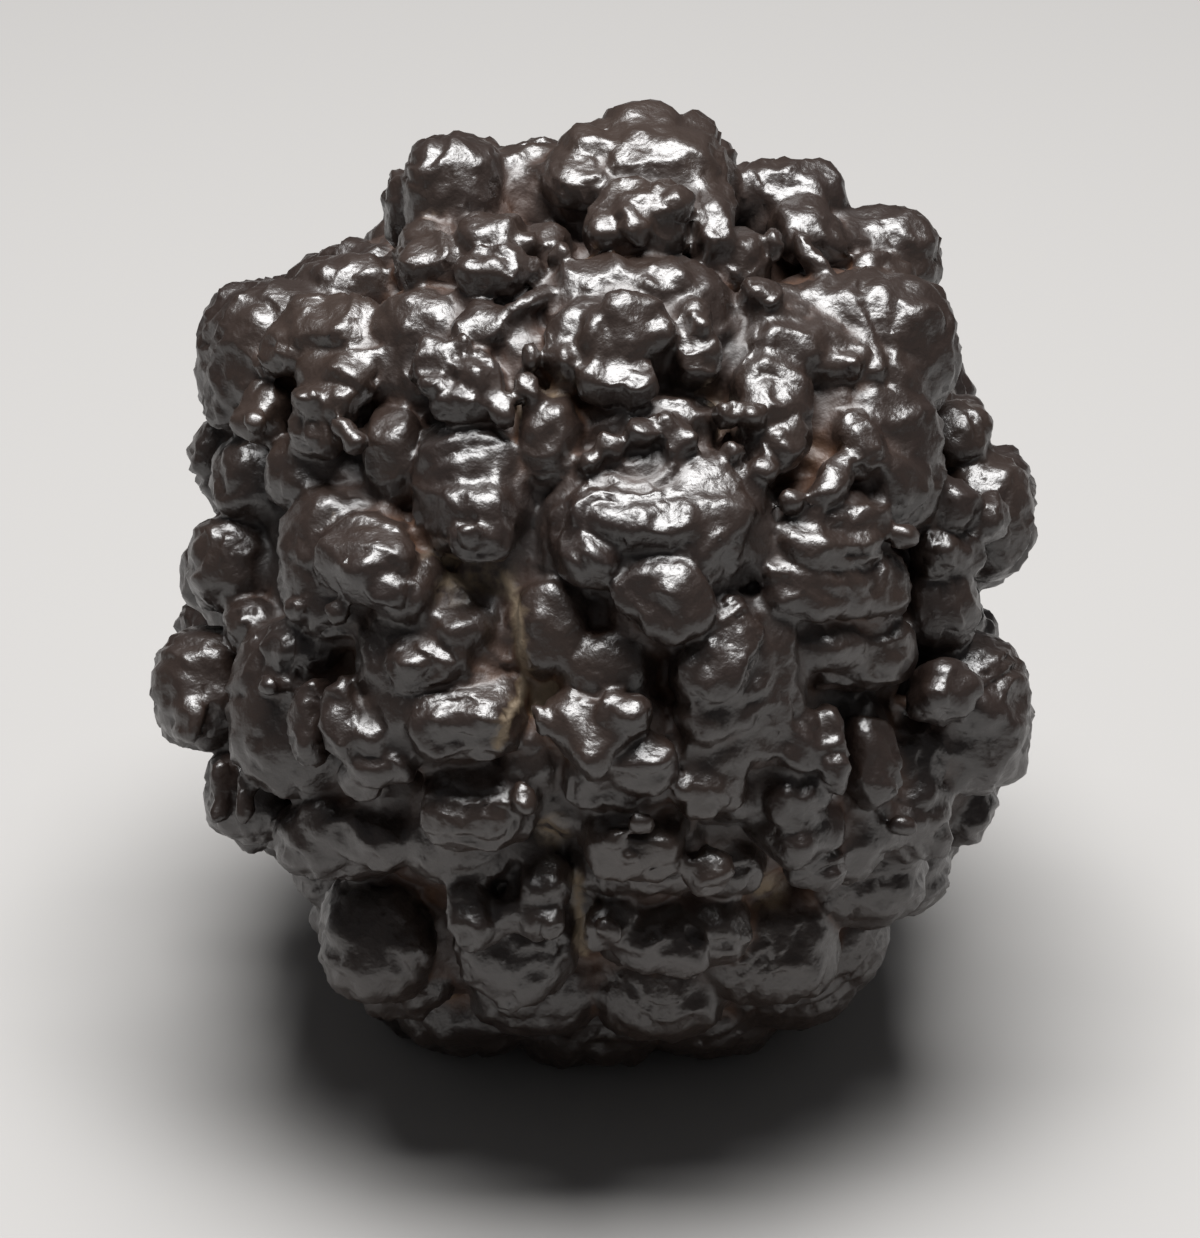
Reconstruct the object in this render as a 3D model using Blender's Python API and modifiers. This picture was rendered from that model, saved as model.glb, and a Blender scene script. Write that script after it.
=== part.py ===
"""A limonite concretion: one solid ball of fused, stepped knobs that rests on a worn foot.

Everything is in millimetres until the mesh is made, and the mesh is in metres with +Z up. The knobs
are placed as they are seen from the front and from 30 degrees above: right and up of the middle of
the ball, with their distance from that middle, here called their reach.
"""

import math

import bmesh
import bpy
import numpy as np
from mathutils import Euler, Vector

METRES = 0.001

# The stone's main sizes, in millimetres.
CORE_HALF_SIZES = (23.8, 26.2, 26.2)
FOOT_CUT_SIDE = 120.0

# Where the middle of the ball is: right, back and up from the origin, which is under the middle of
# the stone's box. The foot is worn flat at height 0.
BALL_MIDDLE = (-0.54, 0.36, 31.0)

# How the knobs' places are read: the height of the eye as an angle, and its distance.
SEEN_FROM_ABOVE = math.radians(30)
SEEN_FROM = 320.0

# How square a knob and a step are: 2 is an ellipse, and more is squarer.
KNOB_SQUARENESS = 2.7
STEP_OUTLINE = 2.8
STEP_EDGE = 3.4

# The step outlines are uneven, by these shares of their size, with this many waves around.
UNEVENNESS = ((2, 0.05), (3, 0.06), (5, 0.035))
OUTLINE_SEED = 11

# The surface: the skin's cell size, its smoothing and the number of faces that is kept.
SKIN_CELL = 0.5
SMOOTHING_ROUNDS = 1
FACES_KEPT = 9900

# Knob bodies: right, up, reach of their middle, half width, half height, half depth.
KNOBS = {
    "crown": (4.1, 25.1, 27.0, 5.4, 4.8, 5.5),
    "crown ridge": (3.3, 28.0, 29.0, 3.2, 3.6, 4.0),
    "crown right bump": (6.5, 27.8, 29.1, 2.0, 3.1, 3.5),
    "crown shoulder": (-0.3, 26.6, 28.2, 2.2, 3.4, 4.0),
    "right saddle": (10.3, 25.4, 27.9, 2.2, 2.0, 4.0),
    "left saddle": (-4.2, 25.2, 26.3, 4.1, 3.5, 5.0),
    "smooth dome": (-9.2, 25.6, 28.7, 3.5, 3.8, 4.5),
    "dome edge": (-12.8, 24.6, 28.3, 1.0, 2.6, 3.0),
    "left shoulder": (-15.8, 19.3, 26.0, 4.0, 2.0, 4.0),
    "upper left pair, left": (-10.8, 21.0, 26.5, 2.4, 2.8, 4.0),
    "upper left pair, right": (-6.6, 21.2, 27.0, 2.5, 3.0, 4.0),
    "upper left pair, back": (-7.4, 23.2, 26.0, 2.8, 1.9, 4.0),
    "big left": (-19.7, 14.3, 25.5, 5.9, 5.4, 6.0),
    "big left, rim": (-23.8, 14.3, 28.2, 2.6, 4.4, 4.0),
    "big left, back": (-21.7, 17.2, 28.1, 3.9, 2.6, 4.0),
    "left hollow": (-22.0, 6.4, 24.0, 3.2, 3.2, 5.0),
    "left block": (-10.0, 14.3, 24.5, 5.1, 5.1, 4.6),
    "rimmed box": (2.6, 15.8, 24.5, 7.3, 5.6, 4.6),
    "upper right": (13.3, 24.3, 28.2, 3.6, 3.5, 4.0),
    "upper right, far": (19.5, 21.0, 29.1, 3.6, 3.6, 4.0),
    "smooth plate": (17.2, 15.1, 26.2, 7.1, 5.2, 6.0),
    "stepped right": (15.8, 8.0, 24.5, 7.5, 6.4, 4.6),
    "right rim": (25.8, 3.9, 26.7, 3.4, 4.2, 5.0),
    "right rim, upper": (24.0, 9.2, 26.4, 2.4, 2.5, 4.0),
    "below stepped right": (15.8, -0.6, 24.5, 5.3, 2.9, 4.6),
    "deep right": (16.5, -4.8, 24.3, 5.0, 2.8, 4.2),
    "broad centre": (4.2, 3.5, 24.5, 7.9, 5.3, 4.6),
    "broad centre, left": (-0.9, 3.0, 24.3, 2.8, 3.5, 4.2),
    "broad centre, right": (8.4, 3.6, 24.5, 3.4, 4.0, 4.6),
    "round centre": (4.9, -1.5, 24.5, 4.2, 3.7, 4.6),
    "bar box": (-7.6, 5.8, 24.5, 4.4, 4.8, 4.6),
    "left middle": (-15.8, 0.8, 24.5, 5.1, 5.4, 4.6),
    "big front": (-10.0, -6.0, 24.5, 5.7, 6.8, 4.6),
    "ribbed left": (-18.3, -8.6, 24.5, 5.9, 6.2, 4.6),
    "left point": (-25.8, -7.4, 27.4, 3.4, 4.0, 5.0),
    "left rim": (-23.8, 0.8, 24.7, 3.1, 3.2, 5.0),
    "left rim, lower": (-22.5, -3.2, 24.7, 1.9, 1.9, 4.0),
    "rusty left": (-22.5, -14.3, 27.2, 3.2, 3.3, 5.0),
    "long lower left": (-16.5, -17.3, 26.3, 4.6, 2.8, 5.0),
    "broad facet": (-8.3, -16.0, 24.5, 4.6, 4.5, 4.6),
    "crescent knob": (1.8, -11.2, 24.5, 4.6, 4.7, 4.6),
    "nested bands": (9.3, -6.5, 24.5, 4.8, 6.4, 4.6),
    "small crescent": (8.6, -13.8, 24.3, 3.5, 2.6, 4.2),
    "low middle": (2.8, -18.2, 24.5, 4.7, 3.3, 4.6),
    "nested shells": (15.8, -13.5, 24.5, 4.2, 6.9, 4.6),
    "right of shells": (20.5, -13.3, 26.0, 3.3, 5.6, 5.0),
    "right point": (24.6, -9.1, 27.0, 4.5, 5.4, 6.0),
    "small lower right": (8.6, -18.8, 24.3, 2.8, 2.5, 4.2),
    "lowest middle": (5.2, -23.2, 26.2, 5.3, 2.8, 5.0),
    "low left facets": (-5.1, -23.0, 26.0, 4.2, 5.1, 5.0),
    "lowest left": (-14.4, -24.0, 28.5, 3.8, 4.4, 5.0),
    "pale bumps": (3.5, 9.6, 24.3, 5.1, 2.6, 4.2),
    "between left and block": (-15.2, 12.5, 24.3, 2.8, 5.5, 4.2),
    "below big left": (-17.6, 7.0, 24.4, 4.2, 2.8, 4.2),
    "centre columns": (-2.6, -3.4, 24.4, 2.7, 3.6, 4.0),
    "beside crescent": (-3.9, -11.4, 24.4, 2.2, 3.2, 4.0),
    "red nodules": (-1.4, -14.8, 24.3, 2.8, 2.4, 3.6),
    "under red nodules": (-4.3, -17.6, 24.6, 2.4, 2.0, 3.6),
    "beside rimmed box": (9.6, 13.2, 24.0, 2.0, 4.4, 4.0),
    "between block and box": (-4.8, 13.2, 24.6, 1.9, 4.6, 4.2),
    "under saddle": (-3.0, 21.1, 25.8, 1.6, 2.4, 3.8),
    "beside pale bumps": (-2.9, 9.0, 24.9, 2.3, 3.4, 4.4),
    "above crescent": (0.9, -6.0, 24.6, 3.4, 2.8, 4.4),
    "behind right rim": (22.8, -1.6, 25.4, 2.8, 3.4, 4.4),
    "above smooth plate": (9.4, 20.6, 26.0, 2.4, 2.5, 4.2),
    "beside bar box": (-13.0, 8.0, 24.8, 2.3, 3.4, 4.2),
    "above nested shells": (12.4, -1.8, 24.2, 2.2, 3.0, 4.0),
    "below ribbed left": (-13.2, -13.6, 24.4, 2.6, 2.4, 4.2),
}

# Steps that face one way: right, up, reach of the middle of the face, width, height, thickness,
# turn, and the way that the face looks, as degrees right and degrees up. No way means straight out.
FACES = {
    "crown": (
        (3.0, 25.0, 30.8, 6.4, 6.2, 4.0, -5, 0, 36),
        (5.2, 25.3, 31.6, 3.2, 3.0, 2.5, 0, 8, 35),
        (8.4, 24.2, 30.4, 3.0, 5.5, 4.0, -5, 20, 35),
    ),
    "left block": (
        (-10.8, 14.6, 30.8, 3.9, 3.8, 3.0, 0, -20, 20),
        (-7.5, 13.3, 30.2, 2.9, 4.8, 3.0, 10, -5, 20),
    ),
    "rimmed box": (
        (1.3, 17.0, 29.9, 9.5, 6.5, 4.0, 20, 3, 35),
        (2.3, 16.6, 31.0, 6.8, 4.8, 2.5, 28, 5, 12),
        (7.2, 16.3, 30.2, 2.9, 6.6, 3.5, 0, 18, 22),
    ),
    "upper right": (
        (14.8, 24.2, 30.6, 4.4, 5.0, 3.0, 0, 25, 45),
        (20.0, 20.7, 31.0, 5.0, 2.8, 3.0, -18, 30, 30),
    ),
    "smooth plate": (
        (16.8, 17.0, 30.2, 14.0, 8.0, 4.0, -15, 32, 45),
        (21.3, 11.5, 29.6, 3.8, 2.2, 2.5, 5, 35, 25),
    ),
    "stepped right": (
        (12.2, 12.6, 29.8, 5.4, 6.5, 4.0, -10, 12, 28),
        (20.6, 7.8, 30.2, 4.0, 6.0, 3.5, 25, 35, 28),
        (18.3, 9.6, 30.6, 2.6, 4.6, 3.0, 18, 25, 30),
        (16.4, 7.0, 30.4, 2.4, 4.6, 3.0, -38, 20, 32),
    ),
    "broad centre": (
        (4.5, 5.6, 29.7, 12.0, 6.5, 4.0, -4, 5, 50),
        (4.0, -1.3, 30.9, 5.0, 5.0, 4.0, 35, -5, 0),
        (6.2, -1.9, 31.6, 4.6, 4.8, 4.0, 30, 12, -3),
    ),
    "left middle": (
        (-15.5, 3.0, 29.8, 7.0, 6.0, 4.0, -35, -20, 55),
    ),
    "ribbed left": (
        (-19.7, -9.5, 30.6, 2.4, 5.8, 3.0, 0, -35, 5),
        (-17.4, -9.3, 31.0, 2.4, 5.8, 3.0, 3, -25, 10),
    ),
    "big left": (
        (-18.6, 17.6, 30.6, 8.0, 5.5, 4.0, 5, -35, 45),
        (-21.1, 15.9, 31.0, 3.6, 3.2, 2.5, 15, -40, 35),
        (-23.2, 11.6, 30.2, 3.0, 4.2, 3.0, 0, -50, 25),
        (-25.6, 14.0, 30.6, 3.2, 8.0, 4.0, 0, -70, 5),
    ),
    "crescent knob": (
        (-1.0, -9.6, 30.3, 3.8, 6.8, 4.0, 45, -15, 25),
        (2.2, -8.4, 30.8, 3.6, 3.0, 3.0, -20, 5, 35),
    ),
    "nested bands": (
        (8.8, -4.6, 30.5, 4.4, 7.5, 3.5, -35, 10, 15),
        (10.3, -6.3, 29.7, 5.8, 10.5, 3.5, -32, 25, 0),
        (10.4, -8.4, 28.8, 7.2, 12.0, 3.5, -32, 25, -5),
    ),
    "nested shells": (
        (14.0, -10.6, 29.6, 3.4, 4.4, 3.0, 0, 20, 10),
        (16.0, -11.0, 30.1, 2.2, 5.6, 3.0, 8, 10, 15),
        (19.5, -12.0, 29.7, 3.4, 5.8, 3.0, 5, 35, 10),
        (23.5, -16.0, 30.4, 2.4, 5.2, 3.0, 15, 60, 5),
    ),
    "right point": (
        (24.5, -6.8, 30.2, 4.2, 4.2, 4.0, -20, 35, 25),
        (27.0, -7.8, 30.4, 4.6, 4.8, 4.0, -30, 55, 25),
        (26.0, -11.5, 30.2, 5.2, 5.2, 4.0, 0, 55, -5),
    ),
    "right rim": (
        (25.0, 5.6, 30.0, 3.2, 3.2, 3.0, 0, 45, 30),
        (27.3, 4.8, 30.8, 2.8, 3.2, 3.0, 0, 55, 30),
    ),
    "lower edge": (
        (7.9, -19.0, 30.5, 3.0, 3.0, 3.0, -30, 10, 25),
        (-8.8, -22.2, 31.0, 3.2, 4.8, 4.0, 10, -25, 10),
    ),
}

# Steps that look upward and end in a front edge: right, up and reach of the middle of that edge,
# width, depth, thickness, turn, and the way that the step looks, as degrees right and degrees up.
LEDGES = {
    "crown": (
        (-0.3, 27.0, 31.0, 5.0, 6.0, 3.0, 22, -10, 65),
        (2.0, 29.6, 31.8, 5.0, 5.0, 3.0, 15, 0, 70),
    ),
    "upper left pair": (
        (-11.0, 21.2, 30.6, 4.2, 3.8, 3.0, 15, -15, 52),
        (-7.0, 20.4, 31.0, 4.8, 3.5, 2.5, 5, -8, 52),
    ),
    "big left": (
        (-18.3, 13.8, 31.0, 6.5, 5.0, 3.0, -5, -30, 58),
        (-19.0, 11.8, 31.2, 5.2, 4.0, 2.5, 0, -32, 52),
        (-20.0, 9.6, 30.4, 5.0, 3.5, 2.5, -15, -35, 45),
        (-23.1, 14.4, 30.6, 3.2, 4.0, 3.0, -10, -48, 50),
    ),
    "left block": (
        (-8.3, 16.4, 30.4, 3.6, 3.5, 3.0, -15, -12, 45),
        (-9.6, 12.0, 31.3, 3.6, 3.8, 2.5, -5, -12, 55),
    ),
    "rimmed box": (
        (0.6, 13.0, 30.8, 3.0, 3.2, 2.5, 0, 0, 45),
        (3.3, 13.0, 30.9, 2.8, 3.2, 2.5, 15, 5, 45),
    ),
    "upper right": (
        (18.8, 22.4, 31.0, 5.6, 4.2, 3.0, -10, 35, 55),
    ),
    "smooth plate": (
        (17.6, 14.0, 30.6, 5.0, 5.0, 3.0, 0, 25, 50),
        (22.0, 13.4, 30.3, 5.2, 5.0, 2.5, 8, 40, 55),
    ),
    "stepped right": (
        (14.2, 9.4, 30.4, 4.8, 4.8, 3.0, 35, 15, 50),
        (17.5, 4.3, 30.5, 8.0, 6.0, 2.5, 0, 25, 60),
        (16.8, 2.5, 30.9, 8.2, 6.0, 2.5, 0, 25, 60),
        (15.8, -0.2, 30.3, 8.2, 4.2, 2.2, -3, 25, 50),
        (16.2, -1.8, 30.3, 7.8, 4.2, 2.2, 3, 25, 45),
        (17.0, -4.4, 29.4, 5.8, 4.0, 3.0, 8, 30, 50),
    ),
    "right rim": (
        (25.5, 1.5, 29.9, 5.0, 3.6, 3.0, 5, 45, 45),
    ),
    "broad centre": (
        (-0.9, 1.8, 30.9, 4.6, 5.2, 3.5, -10, -5, 55),
        (8.8, 2.1, 31.1, 5.0, 5.4, 4.0, 15, 15, 55),
    ),
    "bar box": (
        (-7.9, 5.6, 30.7, 5.8, 7.0, 4.5, 0, -5, 68),
        (-7.3, 3.0, 30.4, 4.2, 4.0, 2.5, 0, 0, 60),
    ),
    "left middle": (
        (-16.6, 1.3, 30.3, 4.4, 5.0, 3.5, -30, -20, 50),
        (-14.0, -1.1, 30.5, 4.2, 4.6, 3.5, -25, -15, 45),
    ),
    "big front": (
        (-9.6, -2.9, 29.5, 4.8, 6.0, 3.0, 0, -10, 65),
        (-11.2, -5.0, 30.3, 6.8, 7.0, 3.0, 5, -15, 62),
        (-9.4, -9.1, 31.4, 7.4, 8.0, 4.5, -5, -10, 58),
    ),
    "ribbed left": (
        (-20.4, -4.7, 29.0, 5.6, 4.0, 3.0, 10, -30, 50),
        (-21.8, -7.3, 29.7, 3.5, 4.0, 3.0, 0, -40, 45),
        (-15.3, -10.6, 31.1, 3.2, 4.0, 3.0, 10, -15, 45),
        (-14.2, -12.5, 31.1, 4.6, 4.0, 2.5, 15, -15, 50),
        (-16.3, -13.5, 30.7, 2.8, 3.0, 2.5, -10, -20, 45),
    ),
    "broad facet": (
        (-8.4, -16.2, 31.2, 8.2, 5.6, 4.5, -3, -10, 38),
    ),
    "long lower left": (
        (-17.5, -17.0, 30.4, 9.0, 5.0, 4.0, -12, -25, 45),
    ),
    "lowest left": (
        (-15.7, -24.7, 31.0, 6.6, 5.0, 4.0, -10, -25, 45),
        (-13.7, -28.0, 31.2, 5.0, 3.0, 3.0, 5, -20, 45),
    ),
    "low left facets": (
        (-5.4, -22.6, 31.0, 3.6, 4.0, 3.0, -20, -10, 40),
        (-3.4, -21.0, 30.4, 3.6, 3.4, 3.0, 0, -5, 40),
        (-4.0, -27.0, 31.3, 3.4, 3.2, 3.0, 10, 0, 40),
    ),
    "lowest middle": (
        (4.2, -24.4, 31.0, 5.6, 5.0, 3.5, 0, 8, 45),
        (6.5, -25.0, 31.4, 3.8, 3.8, 3.0, 0, 15, 45),
        (0.9, -23.6, 30.6, 3.4, 4.0, 3.0, -10, 0, 40),
    ),
    "low middle": (
        (3.2, -17.8, 31.0, 7.6, 5.6, 4.0, 0, 5, 48),
    ),
    "crescent knob": (
        (4.0, -12.2, 31.6, 4.4, 4.2, 3.5, 15, 5, 50),
    ),
    "small crescent": (
        (8.9, -13.9, 30.9, 4.8, 4.6, 3.5, 15, 12, 50),
    ),
    "nested bands": (
        (7.6, -6.9, 31.2, 3.8, 5.0, 3.0, 0, 8, 50),
        (7.5, -9.5, 30.9, 3.0, 3.4, 2.5, 0, 8, 45),
    ),
    "nested shells": (
        (14.8, -14.2, 30.5, 5.2, 6.0, 3.5, 20, 15, 50),
        (15.8, -17.2, 31.0, 5.8, 5.4, 3.5, 25, 20, 45),
        (15.0, -19.4, 30.8, 4.0, 3.2, 2.5, -15, 15, 45),
        (21.0, -16.7, 30.7, 5.2, 4.2, 3.0, 0, 30, 45),
    ),
}

# Bodies low on the front, where the ball turns under: right, up, depth toward the eye, half sizes.
UNDER_FRONT = (
    (12.4, -25.4, -2.0, 5.2, 4.8, 6.0),
    (19.4, -19.0, 0.0, 4.2, 3.6, 5.5),
    (7.6, -27.6, -3.5, 5.2, 4.6, 5.6),
    (-0.2, -28.2, -4.0, 5.6, 4.7, 5.6),
    (-8.2, -27.4, -3.5, 5.2, 4.6, 5.6),
    (15.6, -23.0, -2.0, 4.2, 4.6, 6.0),
    (-3.6, -26.0, 4.0, 4.6, 4.0, 4.6),
    (4.4, -26.2, 5.0, 4.6, 4.0, 4.6),
    (11.2, -23.6, 6.5, 4.8, 4.2, 4.8),
    (17.4, -18.6, 7.5, 4.2, 4.0, 4.6),
)

# The outline as it is seen: degrees around from the right, and how far out it is there.
OUTLINE = (
    (4, 29.0), (12, 30.4), (19, 28.3), (25, 27.3), (32, 29.5), (44, 32.4), (58, 32.0), (70, 30.8),
    (84, 32.4), (94, 29.3), (108, 31.6), (121, 27.8), (131, 28.0), (146, 31.8), (157, 29.2),
    (170, 24.2), (180, 27.3), (194, 30.9), (204, 29.0), (214, 30.8), (224, 28.0), (241, 32.8),
    (260, 32.2), (288, 33.0), (306, 31.5), (321, 30.2), (339, 31.9), (350, 27.4), (355, 25.4),
)
OUTLINE_MARGIN = 0.5

# Knobs of the underside, worn flat where they meet the ground: right, back, up, half sizes.
FOOT_KNOBS = (
    (0.5, 1.5, -25.0, 7.4, 6.6, 7.0),
    (-11.0, -6.5, -24.0, 5.0, 5.2, 7.4),
    (11.5, -5.0, -24.0, 5.2, 5.0, 7.4),
    (1.5, 13.5, -23.6, 5.6, 5.0, 7.8),
)

# Knobs that the front view doesn't show: their number all round, their reach and half size. They
# fill the ball behind this depth, leave out the foot, and stay inside the outline that is seen.
HIDDEN_SPOTS = 140
HIDDEN_SEED = 5
HIDDEN_REACH = (24.6, 25.8)
HIDDEN_HALF_SIZE = (4.3, 5.3)
HIDDEN_DEPTH = 3.5
FOOT_REACH = 25.4

# The nested steps of such a knob, as shares of its half size: the first step's width and how much
# narrower each next one is, the first one's height and the rise to each next one.
STEPS_A_KNOB = 3
STEP_WIDTH = 2.0
STEP_NARROWING = 0.48
STEP_DEPTH_SHARE = 0.85
STEP_HEIGHT = 0.55
STEP_RISE = 0.28
STEP_THICKNESS = 3.0
KNOB_DEPTH_SHARE = 0.8
MOST_SLANT = 0.25
MOST_SHIFT = 0.35
SHIFT_SHARE = 0.7
STRETCH_SHARE = 0.3

STONE_COLOUR = (0.038, 0.028, 0.024, 1.0)
STONE_ROUGHNESS = 0.38
STONE_METALLIC = 0.0

EYE_RIGHT = Vector((1.0, 0.0, 0.0))
EYE_UP = Vector((0.0, math.sin(SEEN_FROM_ABOVE), math.cos(SEEN_FROM_ABOVE)))
EYE_OUT = Vector((0.0, -math.cos(SEEN_FROM_ABOVE), math.sin(SEEN_FROM_ABOVE)))

# Straight down, in the same right, up and out that the knobs are placed in.
EYE_DOWN = Vector((0.0, -EYE_UP.z, -EYE_OUT.z))


def clear_scene():
    for old in list(bpy.data.objects):
        bpy.data.objects.remove(old, do_unlink=True)


def new_collection(name, hidden=False):
    made = bpy.data.collections.new(name)
    bpy.context.scene.collection.children.link(made)
    made.hide_render = hidden
    return made


def unit_ball(subdivisions):
    """Points and faces of a ball of radius 1."""
    made = bmesh.new()
    bmesh.ops.create_icosphere(made, subdivisions=subdivisions, radius=1.0)
    points = np.array([point.co[:] for point in made.verts])
    faces = np.array([[point.index for point in face.verts] for face in made.faces])
    made.free()
    return points, faces


def seen_place(right, up, reach):
    """The point that is seen there, as (right, up, out), and how much smaller it is than it looks."""
    depth = 0.0
    for _ in range(8):
        shrink = 1.0 - depth / SEEN_FROM
        depth = math.sqrt(max(reach**2 - (right**2 + up**2) * shrink**2, 0.0))
    return Vector((right * shrink, up * shrink, depth)), shrink


def way(right_degrees, up_degrees):
    right = math.radians(right_degrees)
    up = math.radians(up_degrees)
    return Vector((math.sin(right) * math.cos(up), math.sin(up), math.cos(right) * math.cos(up)))


def face_axes(outward, turn_degrees):
    """Across, along and out, for something that looks along outward."""
    across = Vector((0.0, 1.0, 0.0)).cross(outward)
    if across.length < 1e-6:
        across = Vector((1.0, 0.0, 0.0))
    across.normalize()
    along = outward.cross(across)
    turn = math.radians(turn_degrees)
    turned = across * math.cos(turn) + along * math.sin(turn)
    return turned, outward.cross(turned), outward


def squared_ball(points, half_sizes, outline, edge, waves=()):
    """A ball pushed out toward a box, with an uneven outline where waves are given."""
    flat = np.abs(points[:, 0]) ** outline + np.abs(points[:, 1]) ** outline
    pushed = (flat ** (edge / outline) + np.abs(points[:, 2]) ** edge) ** (-1.0 / edge)
    shaped = points * pushed[:, None]
    around = np.arctan2(points[:, 1], points[:, 0])
    swell = np.ones(len(points))
    for count, share, phase in waves:
        swell += share * np.sin(count * around + phase)
    shaped[:, :2] *= swell[:, None]
    return shaped * np.array(half_sizes)


class Heap:
    """Overlapping closed shapes that are fused into one skin later."""

    def __init__(self):
        self.ball, self.ball_faces = unit_ball(4)
        self.points = []
        self.faces = []
        self.count = 0
        self.chance = np.random.default_rng(OUTLINE_SEED)

    def add(self, points, middle, axes):
        frame = np.array([list(axis) for axis in axes])
        self.points.append(points @ frame + np.array(middle[:]))
        self.faces.append(self.ball_faces + self.count)
        self.count += len(points)

    def add_core(self, half_sizes):
        axes = face_axes(Vector((0.0, 0.0, 1.0)), 0.0)
        self.add(self.ball * np.array(half_sizes), Vector((0.0, 0.0, 0.0)), axes)

    def add_knob(self, middle, half_sizes, outward=Vector((0.0, 0.0, 1.0)), turn=0.0):
        shape = squared_ball(self.ball, half_sizes, KNOB_SQUARENESS, KNOB_SQUARENESS)
        self.add(shape, middle, face_axes(outward, turn))

    def add_step(self, face_middle, width, height, thickness, axes):
        waves = [(count, share, self.chance.uniform(0.0, math.tau)) for count, share in UNEVENNESS]
        half_sizes = (width / 2, height / 2, thickness / 2)
        shape = squared_ball(self.ball, half_sizes, STEP_OUTLINE, STEP_EDGE, waves)
        self.add(shape, face_middle - axes[2] * thickness / 2, axes)

    def mesh(self, name):
        made = bpy.data.meshes.new(name)
        to_world = np.array([EYE_RIGHT[:], EYE_UP[:], EYE_OUT[:]])
        points = (np.concatenate(self.points) @ to_world + np.array(BALL_MIDDLE)) * METRES
        made.from_pydata(points.tolist(), [], np.concatenate(self.faces).tolist())
        made.validate()
        return made


def add_seen_knobs(heap):
    for right, up, reach, half_width, half_height, half_depth in KNOBS.values():
        middle, shrink = seen_place(right, up, reach)
        heap.add_knob(middle, (half_width * shrink, half_height * shrink, half_depth))
    for right, up, depth, half_width, half_height, half_depth in UNDER_FRONT:
        heap.add_knob(Vector((right, up, depth)), (half_width, half_height, half_depth))


def add_seen_steps(heap):
    for group in FACES.values():
        for right, up, reach, width, height, thickness, turn, look_right, look_up in group:
            middle, shrink = seen_place(right, up, reach)
            axes = face_axes(way(look_right, look_up), turn)
            heap.add_step(middle, width * shrink, height * shrink, thickness, axes)
    for group in LEDGES.values():
        for right, up, reach, width, depth, thickness, turn, look_right, look_up in group:
            front, shrink = seen_place(right, up, reach)
            axes = face_axes(way(look_right, look_up), turn)
            heap.add_step(front + axes[1] * depth / 2, width * shrink, depth, thickness, axes)


def spread_ways(count):
    """Directions spread evenly over a ball, along a spiral."""
    golden_turn = math.pi * (3.0 - math.sqrt(5.0))
    for index in range(count):
        height = 1.0 - 2.0 * (index + 0.5) / count
        ring = math.sqrt(1.0 - height * height)
        angle = golden_turn * index
        yield Vector((ring * math.cos(angle), ring * math.sin(angle), height))


def add_stepped_knob(heap, chance, middle, half_size):
    """A knob with nested steps, each smaller and further out than the last, and a little aside."""
    outward = middle.normalized()
    slant = Euler(chance.uniform(-MOST_SLANT, MOST_SLANT, 3)).to_matrix()
    turn = chance.uniform(0.0, 90.0)
    shifts = chance.uniform(-MOST_SHIFT, MOST_SHIFT, (STEPS_A_KNOB, 2))
    stretch = 1.0 + STRETCH_SHARE * shifts[0][0]
    half_sizes = (half_size * stretch, half_size / stretch, half_size * KNOB_DEPTH_SHARE)
    heap.add_knob(middle, half_sizes, outward, turn)
    axes = face_axes((slant @ outward).normalized(), turn)
    for level in range(STEPS_A_KNOB):
        width = half_size * (STEP_WIDTH - STEP_NARROWING * level)
        rise = half_size * (STEP_HEIGHT + STEP_RISE * level)
        aside = (axes[0] * shifts[level][0] + axes[1] * shifts[level][1]) * half_size * SHIFT_SHARE
        top = middle + axes[2] * rise + aside
        heap.add_step(top, width, width * STEP_DEPTH_SHARE, STEP_THICKNESS, axes)


def inside_outline(middle, half_size):
    """The same middle, moved in where a knob there would show past the outline."""
    flat = math.hypot(middle.x, middle.y)
    degrees = math.degrees(math.atan2(middle.y, middle.x)) % 360.0
    angles, reaches = zip(*OUTLINE)
    most = np.interp(degrees, angles, reaches, period=360.0) - OUTLINE_MARGIN - half_size
    share = min(1.0, most / flat)
    return Vector((middle.x * share, middle.y * share, middle.z))


def add_hidden_knobs(heap):
    """Knobs like the seen ones on the back and the underside, and the plain knobs of the foot."""
    chance = np.random.default_rng(HIDDEN_SEED)
    for outward in spread_ways(HIDDEN_SPOTS):
        reach = chance.uniform(*HIDDEN_REACH)
        half_size = chance.uniform(*HIDDEN_HALF_SIZE)
        if outward.z * reach < HIDDEN_DEPTH and outward.dot(EYE_DOWN) * reach < FOOT_REACH:
            add_stepped_knob(heap, chance, inside_outline(outward * reach, half_size), half_size)
    for right, back, up, half_width, half_depth, half_height in FOOT_KNOBS:
        place = Vector((right, back, up))
        seen = Vector((place.x, place.dot(EYE_UP), place.dot(EYE_OUT)))
        heap.add_knob(seen, (half_width, half_depth, half_height), EYE_DOWN)


def add_modifier(thing, kind, **settings):
    modifier = thing.modifiers.new(kind.title(), kind)
    for name, value in settings.items():
        setattr(modifier, name, value)
    return modifier


def evaluated_mesh(thing):
    bpy.context.view_layer.update()
    return bpy.data.meshes.new_from_object(thing.evaluated_get(bpy.context.evaluated_depsgraph_get()))


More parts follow.
